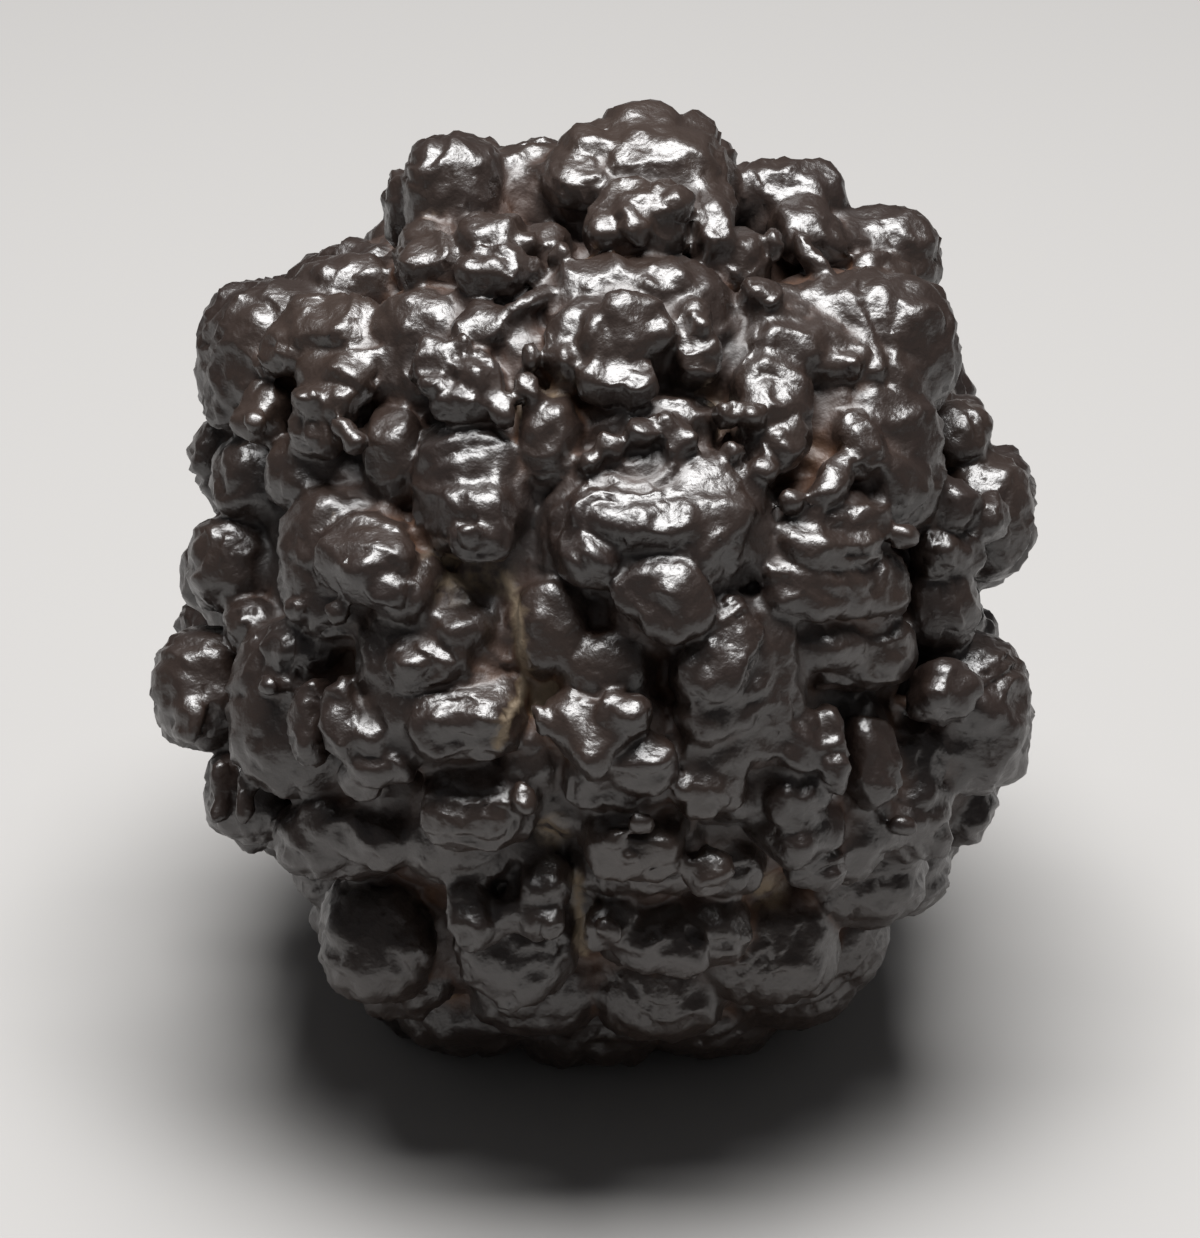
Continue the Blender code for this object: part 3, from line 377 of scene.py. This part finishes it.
# The underside's knobs, worn flat on the ground: right, back, up, half sizes.
footKnobs = (
    (0.5, 1.5, -25.0, 7.4, 6.6, 7.0),
    (-11.0, -6.5, -24.0, 5.0, 5.2, 7.4),
    (11.5, -5.0, -24.0, 5.2, 5.0, 7.4),
    (1.5, 13.5, -23.6, 5.6, 5.0, 7.8),
)

# The eye's own directions in the world, and straight down as the eye has it.
eyeRight = Vector((1.0, 0.0, 0.0))
eyeUp = Vector((0.0, math.sin(ball["seenFromAbove"]), math.cos(ball["seenFromAbove"])))
eyeOut = Vector((0.0, -math.cos(ball["seenFromAbove"]), math.sin(ball["seenFromAbove"])))
eyeDown = Vector((0.0, -eyeUp.z, -eyeOut.z))
toWorld = np.array([eyeRight[:], eyeUp[:], eyeOut[:]])
nearestRounds = 8  # enough for seenPlace to settle
tooShort = 1e-6


# A point seen there, as (right, up, out), and how much smaller it is than it looks.
def seenPlace(right, up, reach):
    depth = 0.0
    for _ in range(nearestRounds):
        shrink = 1.0 - depth / ball["seenFrom"]
        depth = math.sqrt(max(reach**2 - (right**2 + up**2) * shrink**2, 0.0))
    return Vector((right * shrink, up * shrink, depth)), shrink


# The way that something looks, as degrees right and up of straight at the eye.
def way(rightDegrees, upDegrees):
    right = math.radians(rightDegrees)
    up = math.radians(upDegrees)
    return Vector((math.sin(right) * math.cos(up), math.sin(up), math.cos(right) * math.cos(up)))


# Across, along and out, for something that looks along outward.
def faceAxes(outward, turnDegrees):
    across = Vector((0.0, 1.0, 0.0)).cross(outward)
    if across.length < tooShort:
        across = Vector((1.0, 0.0, 0.0))
    across.normalize()
    along = outward.cross(across)
    turn = math.radians(turnDegrees)
    turned = across * math.cos(turn) + along * math.sin(turn)
    return turned, outward.cross(turned), outward


# A ball pushed out toward a box, with an uneven outline where waves are given.
def squaredBall(points, halfSizes, outlinePower, edge, waves=()):
    flat = np.abs(points[:, 0]) ** outlinePower + np.abs(points[:, 1]) ** outlinePower
    pushed = (flat ** (edge / outlinePower) + np.abs(points[:, 2]) ** edge) ** (-1.0 / edge)
    shaped = points * pushed[:, None]
    around = np.arctan2(points[:, 1], points[:, 0])
    swell = np.ones(len(points))
    for count, share, phase in waves:
        swell += share * np.sin(count * around + phase)
    shaped[:, :2] *= swell[:, None]
    return shaped * np.array(halfSizes)


# Overlapping closed shapes that are fused into one skin later.
class Heap:
    def __init__(self):
        made = bmesh.new()
        bmesh.ops.create_icosphere(made, subdivisions=ball["ballDetail"], radius=1.0)
        self.ball = np.array([point.co[:] for point in made.verts])
        self.ballFaces = np.array([[point.index for point in face.verts] for face in made.faces])
        made.free()
        self.points = []
        self.faces = []
        self.count = 0
        self.chance = np.random.default_rng(ball["outlineSeed"])

    def add(self, points, middle, axes):
        turned = np.array([list(axis) for axis in axes])
        self.points.append(points @ turned + np.array(middle[:]))
        self.faces.append(self.ballFaces + self.count)
        self.count += len(points)

    def addCore(self):
        axes = faceAxes(Vector((0.0, 0.0, 1.0)), 0.0)
        self.add(self.ball * np.array(ball["coreHalfSizes"]), Vector((0.0, 0.0, 0.0)), axes)

    def addKnob(self, middle, halfSizes, outward=Vector((0.0, 0.0, 1.0)), turn=0.0):
        power = ball["knobSquareness"]
        self.add(squaredBall(self.ball, halfSizes, power, power), middle, faceAxes(outward, turn))

    def addStep(self, faceMiddle, width, height, thickness, axes):
        waves = [(n, share, self.chance.uniform(0.0, math.tau)) for n, share in ball["unevenness"]]
        halfSizes = (width / 2, height / 2, thickness / 2)
        shape = squaredBall(self.ball, halfSizes, ball["stepOutline"], ball["stepEdge"], waves)
        self.add(shape, faceMiddle - axes[2] * thickness / 2, axes)

    def mesh(self, name):
        made = bpy.data.meshes.new(name)
        points = (np.concatenate(self.points) @ toWorld + np.array(ball["middle"])) * mm
        made.from_pydata(points.tolist(), [], np.concatenate(self.faces).tolist())
        made.validate()
        return made


def addFace(heap, face):
    right, up, reach, width, height, thickness, turn, lookRight, lookUp = face
    middle, shrink = seenPlace(right, up, reach)
    axes = faceAxes(way(lookRight, lookUp), turn)
    heap.addStep(middle, width * shrink, height * shrink, thickness, axes)


def addLedge(heap, ledge):
    right, up, reach, width, depth, thickness, turn, lookRight, lookUp = ledge
    front, shrink = seenPlace(right, up, reach)
    axes = faceAxes(way(lookRight, lookUp), turn)
    heap.addStep(front + axes[1] * depth / 2, width * shrink, depth, thickness, axes)


def addSeenKnobs(heap):
    for right, up, reach, halfWidth, halfHeight, halfDepth in knobs.values():
        middle, shrink = seenPlace(right, up, reach)
        heap.addKnob(middle, (halfWidth * shrink, halfHeight * shrink, halfDepth))
    for right, up, depth, halfWidth, halfHeight, halfDepth in underFront:
        heap.addKnob(Vector((right, up, depth)), (halfWidth, halfHeight, halfDepth))
    for group in faces.values():
        for face in group:
            addFace(heap, face)
    for group in ledges.values():
        for ledge in group:
            addLedge(heap, ledge)


# The knobs all round that the photo's side doesn't show.
hidden = {
    "spots": 140,
    "seed": 5,
    "reach": (24.6, 25.8),
    "halfSize": (4.3, 5.3),
    "depth": 3.5,
    "footReach": 25.4,
    "steps": 3,
    "stepWidth": 2.0,
    "stepNarrowing": 0.48,
    "stepDepthShare": 0.85,
    "stepHeight": 0.55,
    "stepRise": 0.28,
    "stepThickness": 3.0,
    "knobDepthShare": 0.8,
    "mostSlant": 0.25,
    "mostShift": 0.35,
    "shiftShare": 0.7,
    "stretchShare": 0.3,
    "mostTurn": 90.0,
}


# Directions spread evenly over a ball, along a spiral.
def spreadWays(count):
    goldenTurn = math.pi * (3.0 - math.sqrt(5.0))
    for index in range(count):
        height = 1.0 - 2.0 * (index + 0.5) / count
        ring = math.sqrt(1.0 - height * height)
        angle = goldenTurn * index
        yield Vector((ring * math.cos(angle), ring * math.sin(angle), height))


# The same middle, moved in where a knob there would show past the outline.
def insideOutline(middle, halfSize):
    flat = math.hypot(middle.x, middle.y)
    degrees = math.degrees(math.atan2(middle.y, middle.x)) % 360.0
    angles, reaches = zip(*outline)
    most = np.interp(degrees, angles, reaches, period=360.0) - ball["outlineMargin"] - halfSize
    share = min(1.0, most / flat)
    return Vector((middle.x * share, middle.y * share, middle.z))


# A knob with nested steps, each smaller and further out than the last, and a little aside.
def addSteppedKnob(heap, chance, middle, halfSize):
    outward = middle.normalized()
    slant = Euler(chance.uniform(-hidden["mostSlant"], hidden["mostSlant"], 3)).to_matrix()
    turn = chance.uniform(0.0, hidden["mostTurn"])
    shifts = chance.uniform(-hidden["mostShift"], hidden["mostShift"], (hidden["steps"], 2))
    stretch = 1.0 + hidden["stretchShare"] * shifts[0][0]
    halfSizes = (halfSize * stretch, halfSize / stretch, halfSize * hidden["knobDepthShare"])
    heap.addKnob(middle, halfSizes, outward, turn)
    axes = faceAxes((slant @ outward).normalized(), turn)
    for level in range(hidden["steps"]):
        width = halfSize * (hidden["stepWidth"] - hidden["stepNarrowing"] * level)
        rise = halfSize * (hidden["stepHeight"] + hidden["stepRise"] * level)
        aside = axes[0] * shifts[level][0] + axes[1] * shifts[level][1]
        top = middle + axes[2] * rise + aside * halfSize * hidden["shiftShare"]
        heap.addStep(top, width, width * hidden["stepDepthShare"], hidden["stepThickness"], axes)


def addHiddenKnobs(heap):
    chance = np.random.default_rng(hidden["seed"])
    for outward in spreadWays(hidden["spots"]):
        reach = chance.uniform(*hidden["reach"])
        halfSize = chance.uniform(*hidden["halfSize"])
        if outward.z * reach < hidden["depth"] and outward.dot(eyeDown) * reach < hidden["footReach"]:
            addSteppedKnob(heap, chance, insideOutline(outward * reach, halfSize), halfSize)
    for right, back, up, halfWidth, halfDepth, halfHeight in footKnobs:
        place = Vector((right, back, up))
        seen = Vector((place.x, place.dot(eyeUp), place.dot(eyeOut)))
        heap.addKnob(seen, (halfWidth, halfDepth, halfHeight), eyeDown)


# The skin, its fine terraces and its hammered relief, in millimetres.
skin = {
    "cell": 0.3,
    "smoothing": 1,
    "smoothShare": 0.5,
    "mostTriangles": 190000,
    "terrace": 1.7,
    "terraceStrength": 0.6,
    "terraceWarp": 2.8,
    "terraceWarpSize": 3.6,
    "dimpleSize": 2.1,
    "dimpleDepth": 0.38,
    "dimpleRim": 0.9,
    "dimpleMiddle": 0.25,
    "smallDimpleSize": 1.1,
    "smallDimpleDepth": 0.2,
    "pitSize": 0.8,
    "pitDepth": 0.3,
    "pitStart": 0.15,
    "grainSize": 0.5,
    "grainDepth": 0.1,
    "hollowRounds": 40,
    "hollowDepth": 0.5,
}


def addModifier(thing, kind, **settings):
    modifier = thing.modifiers.new(kind.title(), kind)
    for name, value in settings.items():
        setattr(modifier, name, value)


def evaluatedMesh(thing):
    bpy.context.view_layer.update()
    graph = bpy.context.evaluated_depsgraph_get()
    return bpy.data.meshes.new_from_object(thing.evaluated_get(graph))


# The skin can close in on an empty space, and that inner pocket is taken away.
def keepLargestShell(mesh):
    made = bmesh.new()
    made.from_mesh(mesh)
    unseen = set(made.verts)
    shells = []
    while unseen:
        shell = set()
        front = [unseen.pop()]
        while front:
            point = front.pop()
            shell.add(point)
            for edge in point.link_edges:
                other = edge.other_vert(point)
                if other in unseen:
                    unseen.discard(other)
                    front.append(other)
        shells.append(shell)
    shells.sort(key=len)
    bmesh.ops.delete(made, geom=[point for shell in shells[:-1] for point in shell], context="VERTS")
    made.to_mesh(mesh)
    made.free()


def meshPoints(mesh):
    points = np.empty(len(mesh.vertices) * 3)
    mesh.vertices.foreach_get("co", points)
    return points.reshape(-1, 3)


def meshNormals(mesh):
    normals = np.empty(len(mesh.vertices) * 3)
    mesh.vertex_normals.foreach_get("vector", normals)
    return normals.reshape(-1, 3)


def meshEdges(mesh):
    edges = np.empty(len(mesh.edges) * 2, dtype=np.int64)
    mesh.edges.foreach_get("vertices", edges)
    return edges.reshape(-1, 2)


# A scoop that is deepest in its middle and rises to a rim between it and the next one.
def dimple(place, size, depth):
    near = noise.voronoi(place / size)[0][0]
    return depth * (min(near, skin["dimpleRim"]) ** 2 - skin["dimpleMiddle"])


# Relief in millimetres along the normal: dimples of two sizes, small pits and grain.
def relief(place):
    height = dimple(place, skin["dimpleSize"], skin["dimpleDepth"])
    height += dimple(place, skin["smallDimpleSize"], skin["smallDimpleDepth"])
    pit = noise.noise(place / skin["pitSize"])
    height -= skin["pitDepth"] * max(pit - skin["pitStart"], 0.0)
    return height + skin["grainDepth"] * noise.noise(place / skin["grainSize"])


# How far the terraces move a point out from the ball's middle.
def terraceShift(place, reach):
    warp = skin["terraceWarp"] * noise.noise(place / skin["terraceWarpSize"])
    turn = math.tau * (reach + warp) / skin["terrace"]
    return -skin["terraceStrength"] * skin["terrace"] / math.tau * math.sin(turn)


# Moves the skin's points by the terraces and the relief, and wears the foot flat.
def carve(mesh):
    points = meshPoints(mesh) / mm
    normals = meshNormals(mesh)
    outward = points - np.array(ball["middle"])
    reaches = np.linalg.norm(outward, axis=1)
    outward /= reaches[:, None]
    places = [Vector(point) for point in points.tolist()]
    terraces = np.array([terraceShift(place, reach) for place, reach in zip(places, reaches)])
    heights = np.array([relief(place) for place in places])
    points += outward * terraces[:, None] + normals * heights[:, None]
    points[:, 2] = np.maximum(points[:, 2], 0.0)  # worn flat on the ground
    mesh.vertices.foreach_set("co", (points * mm).ravel())
    mesh.update()


# 0 on crests and 1 in hollows, from how far a smoothed copy lies above the surface.
def hollowMask(mesh):
    points = meshPoints(mesh)
    edges = meshEdges(mesh)
    links = np.bincount(edges.ravel(), minlength=len(points))[:, None]
    smooth = points.copy()
    for _ in range(skin["hollowRounds"]):
        total = np.zeros_like(smooth)
        for axis in range(3):
            total[:, axis] += np.bincount(edges[:, 0], smooth[edges[:, 1], axis], len(points))
            total[:, axis] += np.bincount(edges[:, 1], smooth[edges[:, 0], axis], len(points))
        smooth = total / links
    above = ((smooth - points) * meshNormals(mesh)).sum(axis=1) / mm
    return np.clip(above / skin["hollowDepth"], -1.0, 1.0) * 0.5 + 0.5


# Clay that sticks to the stone, as colour only: right, up, spread in millimetres.
claySpots = (
    (-3.2, 10.9, 1.5), (-11.3, 0.2, 1.0), (-9.0, 0.5, 1.9), (-6.3, -0.1, 0.9), (8.3, 10.6, 1.0),
    (13.2, -15.4, 0.9), (11.6, -21.0, 1.1), (-2.7, -16.8, 0.9), (-11.0, 25.0, 0.9),
    (-16.5, -22.3, 1.3), (-18.0, 4.8, 0.9), (3.0, -25.0, 1.0),
)

# Two thin clay-filled cracks, each a line of (right, up).
cracks = (
    ((-6.0, 0.2), (-5.2, -1.5), (-4.9, -4.5), (-4.5, -6.5), (-4.8, -8.0), (-5.7, -9.3), (-6.3, -11.3)),
    ((-1.0, -19.9), (-1.1, -21.9), (-0.8, -22.9), (-1.0, -24.2), (-0.6, -25.0)),
)

# How wide the clay lies and fades, and how far toward the eye it starts, in millimetres.
clayLay = {
    "spotFade": 1.5,
    "crackHalfWidth": 0.2,
    "crackFade": 2.0,
    "frontDepth": 4.0,
}


# The clay spots and the cracks' clay, as they lie on the side that is seen.
def clayMasks(mesh):
    seen = (meshPoints(mesh) / mm - np.array(ball["middle"])) @ toWorld.T
    shrink = 1.0 - seen[:, 2] / ball["seenFrom"]
    flat = seen[:, :2] / shrink[:, None]
    spots = np.zeros(len(flat))
    filled = np.zeros(len(flat))
    for right, up, spread in claySpots:
        distance = np.hypot(flat[:, 0] - right, flat[:, 1] - up)
        spots = np.maximum(spots, np.clip(clayLay["spotFade"] - distance / spread, 0.0, 1.0))
    for line in cracks:
        for start, end in zip(line, line[1:]):
            along = np.subtract(end, start)
            share = np.clip((flat - start) @ along / (along @ along), 0.0, 1.0)
            distance = np.linalg.norm(flat - start - share[:, None] * along, axis=1)
            fade = clayLay["crackFade"] - distance / clayLay["crackHalfWidth"]
            filled = np.maximum(filled, np.clip(fade, 0.0, 1.0))
    front = seen[:, 2] > clayLay["frontDepth"]
    return spots * front, filled * front


def addMask(mesh, name, values):
    attribute = mesh.attributes.new(name, "FLOAT", "POINT")
    attribute.data.foreach_set("value", values.astype(np.float32))


def makeStone():
    heap = Heap()
    heap.addCore()
    print("stone: core, knobs and steps")
    addSeenKnobs(heap)
    addHiddenKnobs(heap)
    for face in fineFaces:
        addFace(heap, face)
    rough = bpy.data.objects.new("heap of shapes", heap.mesh("heap of shapes"))
    bpy.context.scene.collection.objects.link(rough)
    addModifier(rough, "REMESH", mode="VOXEL", voxel_size=skin["cell"] * mm)
    addModifier(rough, "SMOOTH", factor=skin["smoothShare"], iterations=skin["smoothing"])
    mesh = evaluatedMesh(rough)
    bpy.data.objects.remove(rough, do_unlink=True)
    keepLargestShell(mesh)
    print("stone skin:", len(mesh.polygons), "faces")
    carve(mesh)
    whole = bpy.data.objects.new("whole stone", mesh)
    bpy.context.scene.collection.objects.link(whole)
    addModifier(whole, "TRIANGULATE")
    share = skin["mostTriangles"] / (2 * len(mesh.polygons))
    if share < 1.0:
        addModifier(whole, "DECIMATE", ratio=share)
    light = evaluatedMesh(whole)
    bpy.data.objects.remove(whole, do_unlink=True)
    light.name = "limonite stone"
    light.shade_smooth()
    print("stone: hollows, clay and cracks")
    addMask(light, "hollow", hollowMask(light))
    spots, filled = clayMasks(light)
    addMask(light, "clay", spots)
    addMask(light, "crack", filled)
    stone = bpy.data.objects.new("limonite_stone", light)
    bpy.context.scene.collection.objects.link(stone)
    print("stone:", len(light.polygons), "triangles")
    return stone


# Colours of the stone and how its tints spread.
finish = {
    "dark": (0.017, 0.010, 0.008, 1.0),
    "grey": (0.032, 0.020, 0.015, 1.0),
    "rust": (0.060, 0.026, 0.014, 1.0),
    "orange": (0.120, 0.050, 0.016, 1.0),
    "clay": (0.240, 0.180, 0.115, 1.0),
    "rustPatch": 110.0,
    "tintPatch": 55.0,
    "clayGrain": 900.0,
    "bumpGrain": 2600.0,
    "bumpDepth": 0.00006,
    "gloss": 0.34,
    "dull": 0.58,
    "clayDull": 0.85,
    "ior": 1.8,
    "toneRange": (0.35, 0.65),
    "rustHollow": (0.5, 0.95),
    "rustRange": (0.42, 0.62),
    "orangeHollow": (0.7, 1.0),
    "orangeRange": (0.56, 0.70),
    "clayRange": (0.38, 0.58),
    "clayHollow": (0.4, 0.75),
    "fleckHollow": (0.85, 1.0),
    "fleckRange": (0.64, 0.72),
    "crackRange": (0.25, 0.4),
    "wearHollow": (0.45, 0.95),
}

# The sockets of a Mix node that blends colours.
colourA, colourB, blended = 6, 7, 2


# Short ways to make and join the nodes of one material.
class Nodes:
    def __init__(self, material):
        material.use_nodes = True
        self.tree = material.node_tree
        self.shader = self.tree.nodes["Principled BSDF"]

    def make(self, kind, **settings):
        node = self.tree.nodes.new(kind)
        for name, value in settings.items():
            setattr(node, name, value)
        return node

    def join(self, output, socket):
        self.tree.links.new(output, socket)

    def noise(self, scale, detail=4.0):
        node = self.make("ShaderNodeTexNoise")
        node.inputs["Scale"].default_value = scale
        node.inputs["Detail"].default_value = detail
        self.join(self.place, node.inputs["Vector"])
        return node.outputs["Fac"]

    def mask(self, name):
        return self.make("ShaderNodeAttribute", attribute_name=name).outputs["Fac"]

    def rangeOf(self, value, low, high, newLow=0.0, newHigh=1.0):
        node = self.make("ShaderNodeMapRange", clamp=True)
        ends = {"From Min": low, "From Max": high, "To Min": newLow, "To Max": newHigh}
        for name, number in ends.items():
            node.inputs[name].default_value = number
        self.join(value, node.inputs["Value"])
        return node.outputs["Result"]

    def math(self, operation, first, second):
        node = self.make("ShaderNodeMath", operation=operation)
        self.join(first, node.inputs[0])
        self.join(second, node.inputs[1])
        return node.outputs[0]

    def times(self, first, second):
        return self.math("MULTIPLY", first, second)

    def larger(self, first, second):
        return self.math("MAXIMUM", first, second)

    def blend(self, share, first, second):
        node = self.make("ShaderNodeMix", data_type="RGBA")
        self.join(share, node.inputs["Factor"])
        for socket, value in ((node.inputs[colourA], first), (node.inputs[colourB], second)):
            if isinstance(value, tuple):
                socket.default_value = value
            else:
                self.join(value, socket)
        return node.outputs[blended]


def stoneMaterial():
    material = bpy.data.materials.new("limonite, waxy dark")
    nodes = Nodes(material)
    nodes.place = nodes.make("ShaderNodeTexCoord").outputs["Object"]
    hollow = nodes.mask("hollow")
    patches = nodes.noise(finish["rustPatch"])
    tone = nodes.rangeOf(nodes.noise(finish["tintPatch"]), *finish["toneRange"])
    base = nodes.blend(tone, finish["dark"], finish["grey"])
    rustHollow = nodes.rangeOf(hollow, *finish["rustHollow"])
    rustShare = nodes.times(rustHollow, nodes.rangeOf(patches, *finish["rustRange"]))
    rusty = nodes.blend(rustShare, base, finish["rust"])
    orangeHollow = nodes.rangeOf(hollow, *finish["orangeHollow"])
    orangeShare = nodes.times(orangeHollow, nodes.rangeOf(patches, *finish["orangeRange"]))
    orange = nodes.blend(orangeShare, rusty, finish["orange"])
    clayGrain = nodes.rangeOf(nodes.noise(finish["clayGrain"]), *finish["clayRange"])
    spotShare = nodes.times(nodes.mask("clay"), clayGrain)
    spotShare = nodes.times(spotShare, nodes.rangeOf(hollow, *finish["clayHollow"]))
    fleckHollow = nodes.rangeOf(hollow, *finish["fleckHollow"])
    fleck = nodes.times(fleckHollow, nodes.rangeOf(patches, *finish["fleckRange"]))
    crackGrain = nodes.rangeOf(nodes.noise(finish["clayGrain"]), *finish["crackRange"])
    crackShare = nodes.times(nodes.mask("crack"), crackGrain)
    clayShare = nodes.larger(nodes.larger(spotShare, fleck), crackShare)
    nodes.join(nodes.blend(clayShare, orange, finish["clay"]), nodes.shader.inputs["Base Color"])
    wear = nodes.rangeOf(hollow, *finish["wearHollow"], finish["gloss"], finish["dull"])
    dull = nodes.larger(wear, nodes.rangeOf(clayShare, 0.0, 1.0, 0.0, finish["clayDull"]))
    nodes.join(dull, nodes.shader.inputs["Roughness"])
    bump = nodes.make("ShaderNodeBump")
    bump.inputs["Distance"].default_value = finish["bumpDepth"]
    nodes.join(nodes.noise(finish["bumpGrain"]), bump.inputs["Height"])
    nodes.join(bump.outputs["Normal"], nodes.shader.inputs["Normal"])
    nodes.shader.inputs["IOR"].default_value = finish["ior"]
    return material


# The studio: floor, light and camera, in metres.
studio = {
    "floorSize": 3.0,
    "floorColour": (0.40, 0.39, 0.38, 1.0),
    "floorRoughness": 0.9,
    "worldColour": (0.35, 0.35, 0.36, 1.0),
    "worldStrength": 0.22,
    "keyPlace": (0.0, 0.02, 0.5),
    "keySize": (0.35, 0.25),
    "keyPower": 5.0,
    "photoWidth": 1200.0,
    "photoHeight": 1238.0,
    "ballPixel": (593.0, 577.0),
    "pixelsPerMillimetre": 15.0,
    "sensor": 36.0,
    "nearClip": 0.01,
}


def makeFloor():
    bpy.ops.mesh.primitive_plane_add(size=studio["floorSize"])
    floor = bpy.context.object
    floor.name = "floor"
    material = bpy.data.materials.new("pale floor")
    material.use_nodes = True
    shader = material.node_tree.nodes["Principled BSDF"]
    shader.inputs["Base Color"].default_value = studio["floorColour"]
    shader.inputs["Roughness"].default_value = studio["floorRoughness"]
    floor.data.materials.append(material)


def makeLight():
    lamp = bpy.data.lights.new("soft overhead light", "AREA")
    lamp.shape = "RECTANGLE"
    lamp.size, lamp.size_y = studio["keySize"]
    lamp.energy = studio["keyPower"]
    key = bpy.data.objects.new("soft overhead light", lamp)
    key.location = studio["keyPlace"]
    aim = Vector(ball["middle"]) * mm - key.location
    key.rotation_euler = aim.to_track_quat("-Z", "Y").to_euler()
    bpy.context.scene.collection.objects.link(key)
    world = bpy.data.worlds.new("studio")
    world.use_nodes = True
    background = world.node_tree.nodes["Background"]
    background.inputs["Color"].default_value = studio["worldColour"]
    background.inputs["Strength"].default_value = studio["worldStrength"]
    bpy.context.scene.world = world


# The eye looks at the ball's middle, which is a little off the middle of the photo.
def makeCamera():
    lens = bpy.data.cameras.new("camera")
    lens.sensor_fit = "HORIZONTAL"
    lens.sensor_width = studio["sensor"]
    seenWidth = studio["photoWidth"] / studio["pixelsPerMillimetre"]
    lens.lens = studio["sensor"] * ball["seenFrom"] / seenWidth
    lens.shift_x = (studio["photoWidth"] / 2 - studio["ballPixel"][0]) / studio["photoWidth"]
    lens.shift_y = (studio["ballPixel"][1] - studio["photoHeight"] / 2) / studio["photoWidth"]
    camera = bpy.data.objects.new("camera", lens)
    camera.location = (Vector(ball["middle"]) + eyeOut * ball["seenFrom"]) * mm
    camera.rotation_euler = (-eyeOut).to_track_quat("-Z", "Y").to_euler()
    lens.clip_start = studio["nearClip"]
    bpy.context.scene.collection.objects.link(camera)
    bpy.context.scene.camera = camera


print("studio")
makeCamera()
makeLight()
makeFloor()
print("stone")
stone = makeStone()
stone.data.materials.clear()
stone.data.materials.append(stoneMaterial())
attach(stone, "root")
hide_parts("limonite_concretion")
bpy.context.scene.view_settings.view_transform = "Standard"
